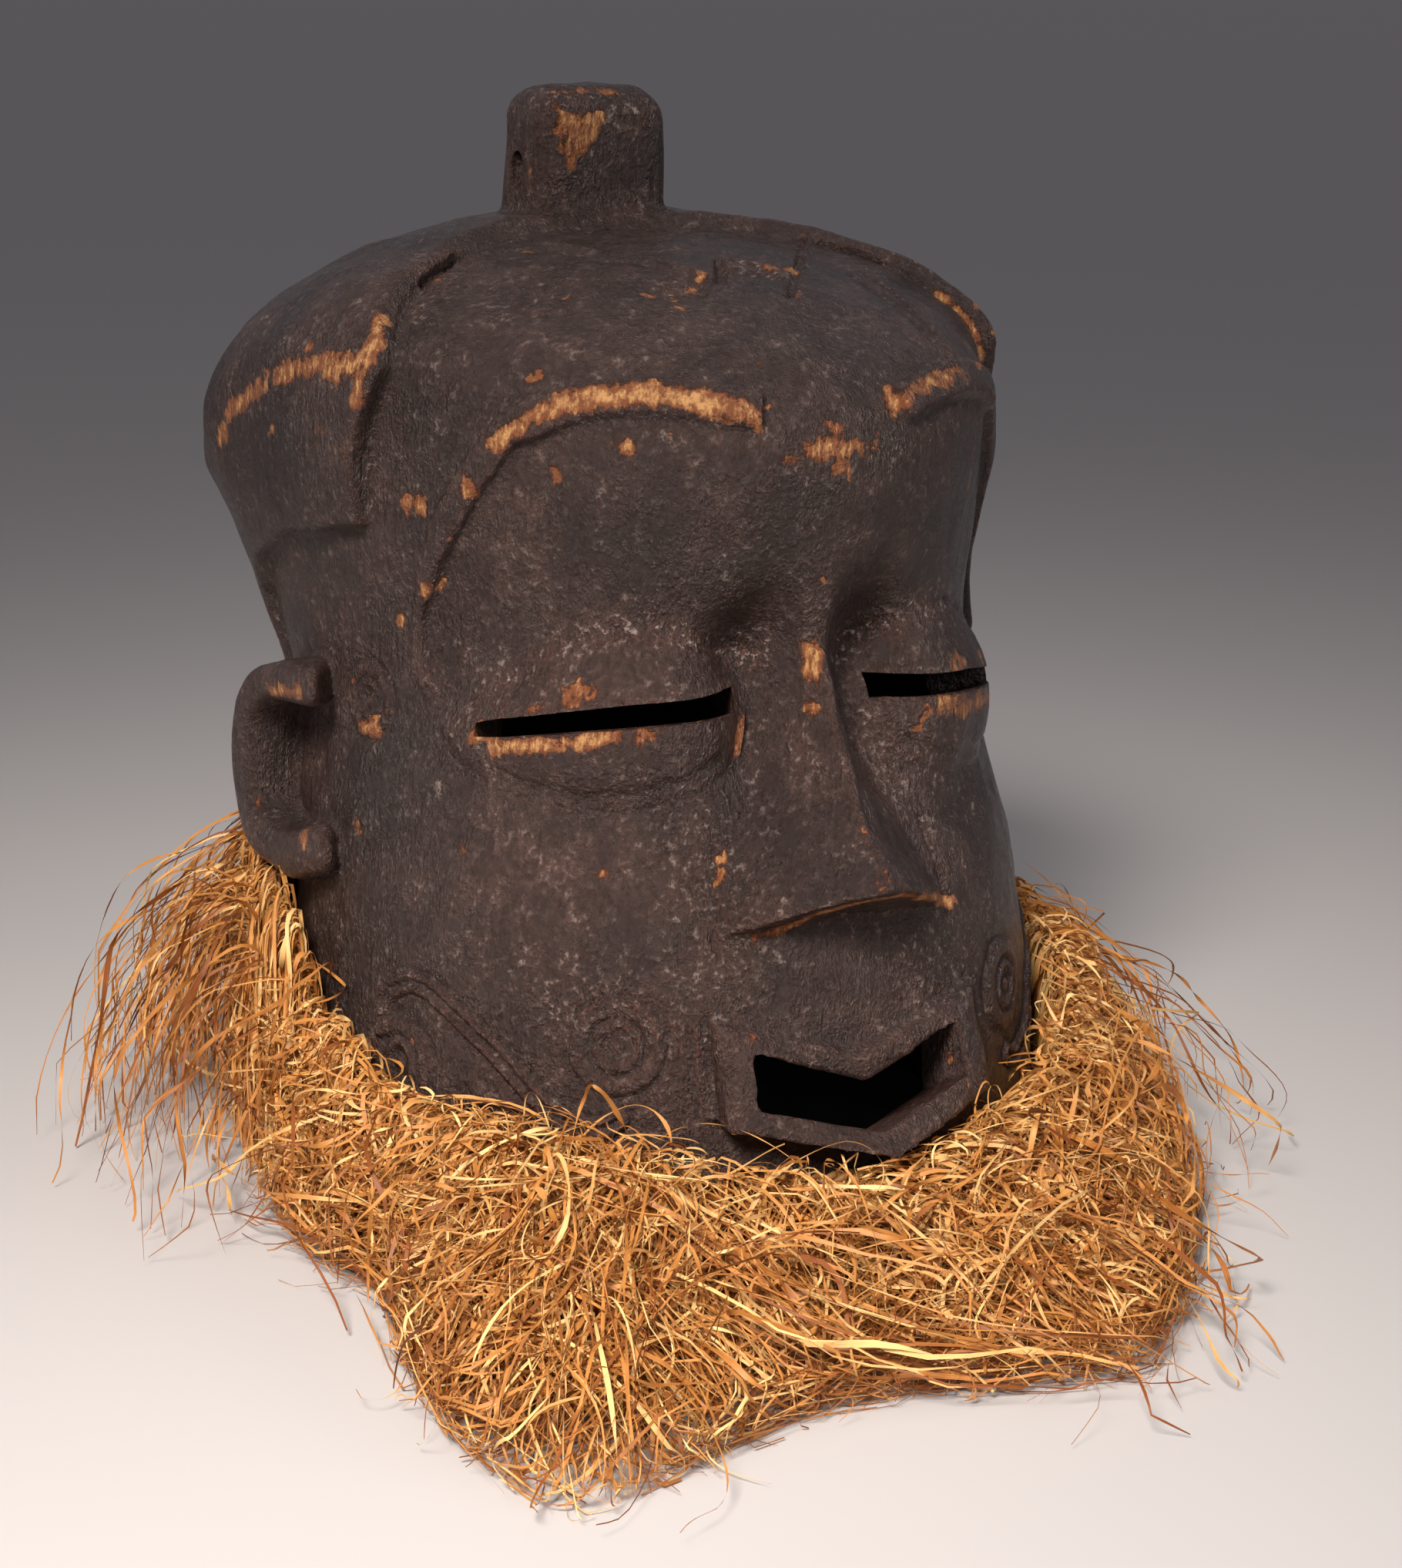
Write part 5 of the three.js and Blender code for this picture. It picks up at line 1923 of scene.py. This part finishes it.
class Sweep:
    """Geometry nodes that sweep a strip or a cord along the lines of a mesh."""

    def __init__(self, name: str, flat: bool) -> None:
        """Builds the node group.

        Args:
            name: Name of the group.
            flat: Whether the section is a flat line, or else a circle.
        """
        self.group = bpy.data.node_groups.new(name, "GeometryNodeTree")
        face = self.group.interface
        face.new_socket("Lines", in_out="INPUT", socket_type="NodeSocketGeometry")
        face.new_socket("Material", in_out="INPUT", socket_type="NodeSocketMaterial")
        face.new_socket("Strips", in_out="OUTPUT", socket_type="NodeSocketGeometry")
        add, link = self.group.nodes.new, self.group.links.new
        start, end = add("NodeGroupInput"), add("NodeGroupOutput")
        chain = [add("GeometryNode" + kind) for kind in (
            "MeshToCurve", "SetCurveRadius", "SetCurveTilt", "CurveToMesh", "SetShadeSmooth",
            "RealizeInstances", "SetMaterial",
        )]
        _, radius, tilt, sweep, *_, paint = chain
        for one, after in zip([start, *chain], [*chain, end]):
            link(one.outputs[0], after.inputs[0])
        width = self.named("width")
        link(width.outputs[0], radius.inputs["Radius"])
        link(width.outputs[0], sweep.inputs["Scale"])
        link(self.named("tilt").outputs[0], tilt.inputs["Tilt"])
        link(self.section(flat), sweep.inputs["Profile Curve"])
        link(start.outputs["Material"], paint.inputs["Material"])

    def named(self, name: str) -> bpy.types.Node:
        """Reads an attribute.

        Args:
            name: Its name.

        Returns:
            The node.
        """
        node = self.group.nodes.new("GeometryNodeInputNamedAttribute")
        node.data_type = "FLOAT"
        node.inputs["Name"].default_value = name
        return node

    def section(self, flat: bool) -> bpy.types.NodeSocket:
        """Section of the sweep, one wide, that also stores its place across.

        Args:
            flat: Whether it is a flat line, or else a circle.

        Returns:
            Its curve.
        """
        add, link = self.group.nodes.new, self.group.links.new
        if flat:
            shape = add("GeometryNodeCurvePrimitiveLine")
            shape.inputs["Start"].default_value = (-0.5, 0.0, 0.0)
            shape.inputs["End"].default_value = (0.5, 0.0, 0.0)
        else:
            shape = add("GeometryNodeCurvePrimitiveCircle")
            shape.inputs["Resolution"].default_value = 8
            shape.inputs["Radius"].default_value = 0.5
        store, place = add("GeometryNodeStoreNamedAttribute"), add("GeometryNodeSplineParameter")
        store.data_type = "FLOAT"
        store.domain = "POINT"
        store.inputs["Name"].default_value = "across"
        link(shape.outputs[0], store.inputs["Geometry"])
        link(place.outputs["Factor"], store.inputs["Value"])
        return store.outputs[0]

    def run(self, wire: bpy.types.Object, name: str, material: bpy.types.Material) -> bpy.types.Object:
        """Sweeps the lines of an object.

        Args:
            wire: The lines.
            name: Name of the piece.
            material: Its material.

        Returns:
            The piece as a plain mesh.
        """
        step = wire.modifiers.new("sweep", "NODES")
        step.node_group = self.group
        for socket in self.group.interface.items_tree:
            if socket.in_out == "INPUT" and socket.name == "Material":
                step[socket.identifier] = material
        return baked(wire, name)


@dataclass
class Lacing:
    """Two-ply cord that runs in and out through the holes of the rim.

    Attributes:
        form: Form of the head.
        cord: Thickness of the cord in mm.
        stand_off: Gap between wood and cord.
        samples: Points along each ply.
        lay: Length of one turn of the plies.
        bend: Half the turn round the head in which the cord goes through a hole, in radians.
    """

    form: HeadForm
    cord: float = 4.5
    stand_off: float = 1.8
    samples: int = 900
    lay: float = 11.0
    bend: float = 5.0 / 120.0

    def route(self) -> np.ndarray:
        """Middle of the cord.

        Returns:
            Points in mm.
        """
        outside = self.cord / 2 + self.stand_off
        inside = -WALL - outside
        bend = self.bend
        stops = []
        for i in range(HOLES):
            angle, after = ((i + step) * 2 * math.pi / HOLES for step in (0.5, 1.5))
            first, last = (outside, inside) if i % 2 == 0 else (inside, outside)
            way = math.copysign(1.0, last - first)
            stops += [
                (angle - bend, first), (angle - bend * 0.25, first + way * 3), (angle, -WALL / 2),
                (angle + bend * 0.25, last - way * 3), (angle + bend, last),
                (lerp(angle, after, 0.37), last), (lerp(angle, after, 0.63), last),
            ]
        stops = np.array(stops)
        points = self.form.wall(stops[:, 0], np.full(len(stops), HOLE_HEIGHT), stops[:, 1])
        return catmull(points, self.samples, True)

    def build(self) -> Strands:
        """Makes the two plies.

        Returns:
            Their centre lines.
        """
        middle = self.route()
        middle = np.vstack([middle, middle[:1]])
        along = unit(np.gradient(middle, axis=0))
        side = unit(np.cross(along, UPRIGHT))
        up = np.cross(side, along)
        run = np.concatenate([[0], np.cumsum(np.linalg.norm(np.diff(middle, axis=0), axis=1))])
        turn = np.round(run[-1] / self.lay) * 2 * np.pi * run / run[-1]
        plies = []
        for phase in (0.0, np.pi):
            offset = side * np.cos(turn + phase)[:, None] + up * np.sin(turn + phase)[:, None]
            plies.append(middle + offset * self.cord * 0.22)
        points = np.array(plies)
        size = points.shape[:2]
        return Strands(points, np.full(size, self.cord * 0.52), np.zeros(size), np.array([0.25, 0.4]))


# Materials


class Nodes:
    """Short way to add and join shader nodes."""

    def __init__(self, tree: bpy.types.NodeTree) -> None:
        """Keeps the tree."""
        self.tree = tree

    def add(
        self, kind: str, inputs: dict[str | int, Feed] | None = None, **settings: object
    ) -> bpy.types.Node:
        """Adds a node.

        Args:
            kind: Type of the node without its prefix.
            inputs: Values or sockets for its inputs.
            settings: Properties of the node.

        Returns:
            The node.
        """
        node = self.tree.nodes.new("ShaderNode" + kind)
        for name, value in settings.items():
            setattr(node, name, value)
        for name, value in (inputs or {}).items():
            if isinstance(value, Socket):
                self.tree.links.new(value, node.inputs[name])
            else:
                node.inputs[name].default_value = value
        return node

    def math(self, operation: str, a: Feed, b: Feed = 0.0, clamp: bool = False) -> Socket:
        """Adds a sum of two values."""
        return self.add("Math", {0: a, 1: b}, operation=operation, use_clamp=clamp).outputs[0]

    def total(self, first: Feed, *terms: tuple[Feed, float], clamp: bool = False) -> Socket:
        """Adds values, each times a factor, to a first one.

        Args:
            first: First value or socket.
            terms: Pairs of a value or socket and its factor.
            clamp: Whether the result stays between 0 and 1.

        Returns:
            The sum.
        """
        for number, (value, factor) in enumerate(terms, 1):
            product = self.math("MULTIPLY", value, factor)
            first = self.math("ADD", first, product, clamp and number == len(terms))
        return first

    def product(self, first: Feed, *factors: Feed, clamp: bool = False) -> Socket:
        """Multiplies values.

        Args:
            first: First value or socket.
            factors: The others.
            clamp: Whether the result stays between 0 and 1.

        Returns:
            The product.
        """
        for number, factor in enumerate(factors, 1):
            first = self.math("MULTIPLY", first, factor, clamp and number == len(factors))
        return first

    def centred(self, value: Socket, factor: float) -> Socket:
        """A noise value moved to run about 0, times a factor."""
        return self.math("MULTIPLY", self.math("SUBTRACT", value, 0.5), factor)

    def ramp(
        self, value: Feed, low: float, high: float, to_low: float = 0.0, to_high: float = 1.0
    ) -> Socket:
        """Maps a range smoothly.

        Args:
            value: Value or socket.
            low: Start of the range.
            high: End of the range.
            to_low: Result at the start.
            to_high: Result at the end.

        Returns:
            The result.
        """
        node = self.add(
            "MapRange",
            {"Value": value, "From Min": low, "From Max": high, "To Min": to_low, "To Max": to_high},
            interpolation_type="SMOOTHSTEP",
        )
        return node.outputs["Result"]

    def mix(self, share: Feed, a: Feed, b: Feed) -> Socket:
        """Mixes a share of colour b into colour a."""
        return self.add("Mix", {0: share, 6: a, 7: b}, data_type="RGBA", blend_type="MIX").outputs[2]

    def noise(self, vector: Socket, scale: float, detail: float = 3.0, rough: float = 0.55) -> Socket:
        """Adds noise."""
        inputs = {"Vector": vector, "Scale": scale, "Detail": detail, "Roughness": rough}
        return self.add("TexNoise", inputs).outputs["Fac"]

    def stretched(self, vector: Socket, scale: tuple[float, float, float]) -> Socket:
        """Scales coordinates."""
        return self.add("Mapping", {"Vector": vector, "Scale": scale}).outputs[0]

    def attribute(self, name: str) -> Socket:
        """Reads a value of the mesh."""
        return self.add("Attribute", attribute_name=name, attribute_type="GEOMETRY").outputs["Fac"]

    def finish(
        self, colour: Feed, rough: Feed, height: Feed, bump: tuple[float, float], shine: float
    ) -> None:
        """Ends a material in its shader.

        Args:
            colour: Base colour.
            rough: Roughness.
            height: Height of the fine relief.
            bump: Strength and distance in metres of the relief.
            shine: Specular level.
        """
        relief = self.add("Bump", {"Height": height, "Strength": bump[0], "Distance": bump[1]})
        shader = self.add("BsdfPrincipled", {
            "Base Color": colour, "Roughness": rough, "Normal": relief.outputs[0],
            "Specular IOR Level": shine,
        })
        self.tree.links.new(shader.outputs[0], self.add("OutputMaterial").inputs[0])


def empty_material(name: str) -> tuple[bpy.types.Material, Nodes]:
    """Makes a material without nodes.

    Args:
        name: Its name.

    Returns:
        The material and its nodes helper.
    """
    made = bpy.data.materials.new(name)
    made.use_nodes = True
    made.node_tree.nodes.clear()
    return made, Nodes(made.node_tree)


def shader_group(
    name: str, inputs: Sockets, outputs: Sockets
) -> tuple[bpy.types.NodeTree, Nodes, bpy.types.Node, bpy.types.Node]:
    """Makes an empty shader group.

    Args:
        name: Its name.
        inputs: Names and types of its inputs.
        outputs: Names and types of its outputs.

    Returns:
        The group, its nodes helper, its input node and its output node.
    """
    group = bpy.data.node_groups.new(name, "ShaderNodeTree")
    for label, kind in inputs:
        group.interface.new_socket(label, in_out="INPUT", socket_type="NodeSocket" + kind)
    for label, kind in outputs:
        group.interface.new_socket(label, in_out="OUTPUT", socket_type="NodeSocket" + kind)
    return group, Nodes(group), group.nodes.new("NodeGroupInput"), group.nodes.new("NodeGroupOutput")


@dataclass(frozen=True)
class WoodFinish:
    """Old dark patina over pale wood.

    Attributes:
        deep: Darkest patina.
        film: Dusty patina on open faces.
        rust: Reddish rubbed wood under the patina.
        dust: Pale dust in the cuts.
        worn_low: Bare wood at the edge of a worn place.
        worn_high: Bare wood in the middle of it.
    """

    deep: Colour = (0.018, 0.0085, 0.006, 1)
    film: Colour = (0.080, 0.039, 0.029, 1)
    rust: Colour = (0.19, 0.062, 0.036, 1)
    dust: Colour = (0.36, 0.27, 0.23, 1)
    worn_low: Colour = (0.20, 0.058, 0.016, 1)
    worn_high: Colour = (0.56, 0.28, 0.10, 1)

    def bare_wood(self) -> bpy.types.NodeTree:
        """Group for the streaky colour of bare wood and the share of it that shows.

        Returns:
            The group.
        """
        taken, given = (("Vector", "Vector"), ("Amount", "Float")), (("Color", "Color"), ("Mask", "Float"))
        group, n, start, end = shader_group("bare_wood", taken, given)
        vector, amount = start.outputs["Vector"], start.outputs["Amount"]
        fibre = n.noise(n.stretched(vector, (1, 1, 0.22)), 520, 5, 0.7)
        patch = n.noise(vector, 120, 5, 0.7)
        ragged = n.math("ADD", n.centred(fibre, 0.9), n.centred(patch, 2.6))
        edge = n.math("ADD", amount, n.product(ragged, n.ramp(amount, 0.0, 0.35)))
        mask = n.ramp(edge, 0.36, 0.60)
        heart = n.ramp(n.math("ADD", edge, n.centred(fibre, 2.6)), 0.62, 1.5)
        streaks = n.mix(heart, self.worn_low, self.worn_high)
        n.tree.links.new(streaks, end.inputs["Color"])
        n.tree.links.new(mask, end.inputs["Mask"])
        return group

    def material(self) -> bpy.types.Material:
        """Builds the material.

        Returns:
            The material.
        """
        made, n = empty_material("carved_wood")
        vector = n.add("TexCoord").outputs["Object"]
        hollow, edge = n.attribute("hollow"), n.attribute("edge")
        worn, dusty = n.attribute("worn"), n.attribute("dust")
        cloudy = n.noise(vector, 22, 4)
        blotch = n.noise(vector, 95, 4)
        grain = n.noise(n.stretched(vector, (1, 1, 0.07)), 620, 4, 0.6)
        speck = n.noise(n.stretched(vector, (1, 1, 0.6)), 1300, 3, 0.6)
        crust = n.noise(vector, 430, 5, 0.68)
        facet = n.noise(n.stretched(vector, (1, 1, 0.3)), 210, 2, 0.5)
        knife = n.math("ABSOLUTE", n.math("SUBTRACT", facet, 0.5))
        film = n.product(
            n.ramp(cloudy, 0.3, 0.7), n.ramp(blotch, 0.25, 0.75, 0.35, 1.0),
            n.ramp(grain, 0.3, 0.7, 0.55, 1.0), n.ramp(crust, 0.36, 0.62, 0.5, 1.2),
            n.ramp(hollow, 0.1, 0.9, 1.0, 0.35),
        )
        colour = n.mix(film, self.deep, self.film)
        rub = n.total(0.0, (n.ramp(blotch, 0.5, 0.78), 0.20), (edge, 0.35), (hollow, 0.25), (dusty, 0.45))
        colour = n.mix(n.product(rub, n.ramp(speck, 0.48, 0.66), clamp=True), colour, self.rust)
        pale = n.total(n.ramp(blotch, 0.42, 0.70, 0.06, 0.50), (dusty, 0.95), (hollow, 0.12))
        colour = n.mix(n.product(pale, n.ramp(crust, 0.54, 0.68), clamp=True), colour, self.dust)
        bare = n.add("Group", node_tree=self.bare_wood())
        n.tree.links.new(vector, bare.inputs["Vector"])
        spot = n.ramp(n.noise(vector, 60, 3), 0.60, 0.76)
        rubbed_edge = n.product(edge, n.total(0.12, (spot, 0.85)))
        n.tree.links.new(n.math("MAXIMUM", worn, rubbed_edge), bare.inputs["Amount"])
        mask = bare.outputs["Mask"]
        colour = n.mix(mask, colour, bare.outputs["Color"])
        rough = n.total(n.ramp(blotch, 0.3, 0.7, 0.18, 0.37), (hollow, 0.2), (mask, 0.08), clamp=True)
        height = n.total(0.0, (grain, 0.6), (crust, 1.2), (speck, 0.9), (knife, 0.8), (mask, -0.5))
        n.finish(colour, rough, height, (0.95, 0.0013), 0.5)
        return made


@dataclass(frozen=True)
class RaffiaFinish:
    """Dry raffia strips.

    Attributes:
        name: Name of the material.
        deep: Colour of the darkest strips, used as painted shading for the strips deep in the mass.
        gold: Colour of most strips.
        straw: Colour of the palest strips, which the painted shading gives mostly to the strips on top of
            the mass.
    """

    name: str = "raffia"
    deep: Colour = (0.22, 0.058, 0.009, 1)
    gold: Colour = (0.52, 0.205, 0.044, 1)
    straw: Colour = (0.84, 0.52, 0.20, 1)

    def material(self) -> bpy.types.Material:
        """Builds the material.

        Returns:
            The material.
        """
        made, n = empty_material(self.name)
        depth_shading_and_tone, along, across = n.attribute("depth_shading_and_tone"), n.attribute("along"), n.attribute("across")
        place = n.add("CombineXYZ", {
            "X": n.product(across, 0.004), "Y": n.product(along, 0.06), "Z": n.product(depth_shading_and_tone, 0.9),
        }).outputs[0]
        fibre = n.noise(place, 1300, 3, 0.6)
        stain = n.noise(n.add("TexCoord").outputs["Object"], 75, 3)
        # The strip value holds painted shading by depth in the mass along with the strip's own tone; stain
        # and fibre noise are the raffia's own colour.
        tone = n.math("ADD", depth_shading_and_tone, n.centred(stain, 0.7))
        tone = n.math("ADD", tone, n.centred(fibre, 0.5), True)
        colour = n.mix(n.ramp(tone, 0.05, 0.5), self.deep, self.gold)
        colour = n.mix(n.ramp(tone, 0.5, 0.95), colour, self.straw)
        n.finish(colour, n.ramp(fibre, 0.3, 0.7, 0.42, 0.6), fibre, (0.5, 0.0003), 0.4)
        return made


TWINE = RaffiaFinish("raffia_twine", (0.16, 0.06, 0.02, 1), (0.34, 0.16, 0.05, 1), (0.45, 0.25, 0.09, 1))


# Studio


@dataclass(frozen=True)
class Lamp:
    """Soft round lamp.

    Attributes:
        name: Its name.
        place: Its position in metres.
        size: Its size in metres.
        power: Its power in watts.
        spread: Angle of its beam in degrees.
        colour: Its colour.
    """

    name: str
    place: tuple[float, float, float]
    size: float
    power: float
    spread: float
    colour: tuple[float, float, float]

    def build(self, aim: tuple[float, float, float]) -> None:
        """Adds the lamp.

        Args:
            aim: Place that it looks at.
        """
        data = bpy.data.lights.new(self.name, "AREA")
        data.shape = "DISK"
        data.size, data.energy, data.color = self.size, self.power, self.colour
        data.spread = math.radians(self.spread)
        lamp = bpy.data.objects.new(self.name, data)
        lamp.location = self.place
        lamp.rotation_mode = "QUATERNION"
        lamp.rotation_quaternion = (Vector(aim) - Vector(self.place)).to_track_quat("-Z", "Y")
        bpy.context.scene.collection.objects.link(lamp)


@dataclass(frozen=True)
class Studio:
    """Plain pale floor and soft light.

    Attributes:
        floor_size: Size of the floor in metres.
        floor_colour: Its colour.
        floor_roughness: Its roughness.
        aim: Place that the lamps look at.
        lamps: The lamps.
        world: Strength of the light from all round.
        world_colour: Its colour.
    """

    floor_size: float = 60.0
    floor_colour: Colour = (0.515, 0.474, 0.454, 1)
    floor_roughness: float = 0.7
    aim: tuple[float, float, float] = (-0.27, -0.25, 0.03)
    lamps: tuple[Lamp, ...] = (
        Lamp("key", (-1.25, -1.15, 1.5), 0.7, 5.9, 41, (1.0, 0.97, 0.93)),
        Lamp("fill", (1.3, -1.5, 0.9), 0.9, 1.15, 70, (1.0, 0.98, 0.96)),
        Lamp("top", (0.2, 0.4, 1.7), 0.9, 3.2, 180, (1.0, 1.0, 1.0)),
    )
    world: float = 0.19
    world_colour: Colour = (0.90, 0.90, 1.0, 1)

    def build(self) -> bpy.types.Object:
        """Makes floor, lamps and world.

        Returns:
            The floor.
        """
        half = self.floor_size / 2
        corners = np.array([(-half, -half, 0), (half, -half, 0), (half, half, 0), (-half, half, 0)], float)
        floor = add_object("floor", mesh_from("floor", corners, np.array([[0, 1, 2], [0, 2, 3]])))
        made = bpy.data.materials.new("floor")
        made.use_nodes = True
        shader = made.node_tree.nodes["Principled BSDF"]
        shader.inputs["Base Color"].default_value = self.floor_colour
        shader.inputs["Roughness"].default_value = self.floor_roughness
        floor.data.materials.append(made)
        for lamp in self.lamps:
            lamp.build(self.aim)
        world = bpy.data.worlds.new("world")
        world.use_nodes = True
        sky = world.node_tree.nodes["Background"]
        sky.inputs["Color"].default_value = self.world_colour
        sky.inputs["Strength"].default_value = self.world
        bpy.context.scene.world = world
        bpy.context.scene.view_settings.view_transform = "Standard"
        return floor


# The scene


@dataclass
class Scene:
    """The whole scene.

    Attributes:
        form: Form of the head.
        camera: Camera of the photograph.
        lip_front: Foremost point of the mouth in the mask's millimetres.
        raffia_pieces: Number of pieces that the raffia is parted into round the rim.
    """

    form: HeadForm = field(default_factory=HeadForm)
    camera: PhotoCamera = field(default_factory=PhotoCamera)
    lip_front: float = -149.0
    raffia_pieces: int = 5

    def shift(self) -> np.ndarray:
        """Place of the mask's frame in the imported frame."""
        low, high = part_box("helmet_mask")
        return np.array([(low.x + high.x) / 2 / MM, low.y / MM - self.lip_front, low.z / MM])

    def settle(self, piece: bpy.types.Object, slot: str, *nodes: str) -> None:
        """Hands a piece to the frame.

        Args:
            piece: The piece.
            slot: The record's material slot, which is not used.
            nodes: CAD nodes that it stands for.
        """
        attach(piece, "root")
        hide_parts(*nodes)
        piece.data.calc_loop_triangles()
        log.info("%s: %d triangles", piece.name, len(piece.data.loop_triangles))

    def build(self) -> None:
        """Builds every piece, the camera and the studio."""
        shift = self.shift()
        log.info("shift of the mask's frame in mm: %s", np.round(shift, 3).tolist())

        def place(points: np.ndarray) -> np.ndarray:
            """Moves points from the mask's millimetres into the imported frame."""
            return (points + shift) * MM

        self.camera.build(shift)
        Studio().build()
        helmet = Helmet(self.form, self.camera).build()
        move_points(helmet.data, place(points_of(helmet.data)))
        helmet.data.materials.clear()
        helmet.data.materials.append(WoodFinish().material())
        self.settle(helmet, "carved_wood", "helmet_mask")

        cord = Sweep("sweep_cord", False)
        lacing = cord.run(Lacing(self.form).build().wire("lacing", place), "rim_lacing", TWINE.material())
        self.settle(lacing, "raffia_lacing", "raffia_lacing")

        strip = Sweep("sweep_strip", True)
        strands = Fringe(self.form, FringeForm()).build()
        raffia = RaffiaFinish().material()
        first = strands.points[:, 0]
        order = np.argsort(np.arctan2(first[:, 0], -first[:, 1]))
        for number, chosen in enumerate(np.array_split(order, self.raffia_pieces)):
            name = f"raffia_strips_{number + 1}"
            piece = strip.run(strands.part(chosen).wire("strips", place), name, raffia)
            self.settle(piece, "raffia", "raffia_fringe")


def main() -> None:
    """Builds the scene."""
    logging.basicConfig(level=logging.INFO, format="%(message)s")
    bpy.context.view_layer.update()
    Scene().build()


if __name__ == "__main__":
    main()
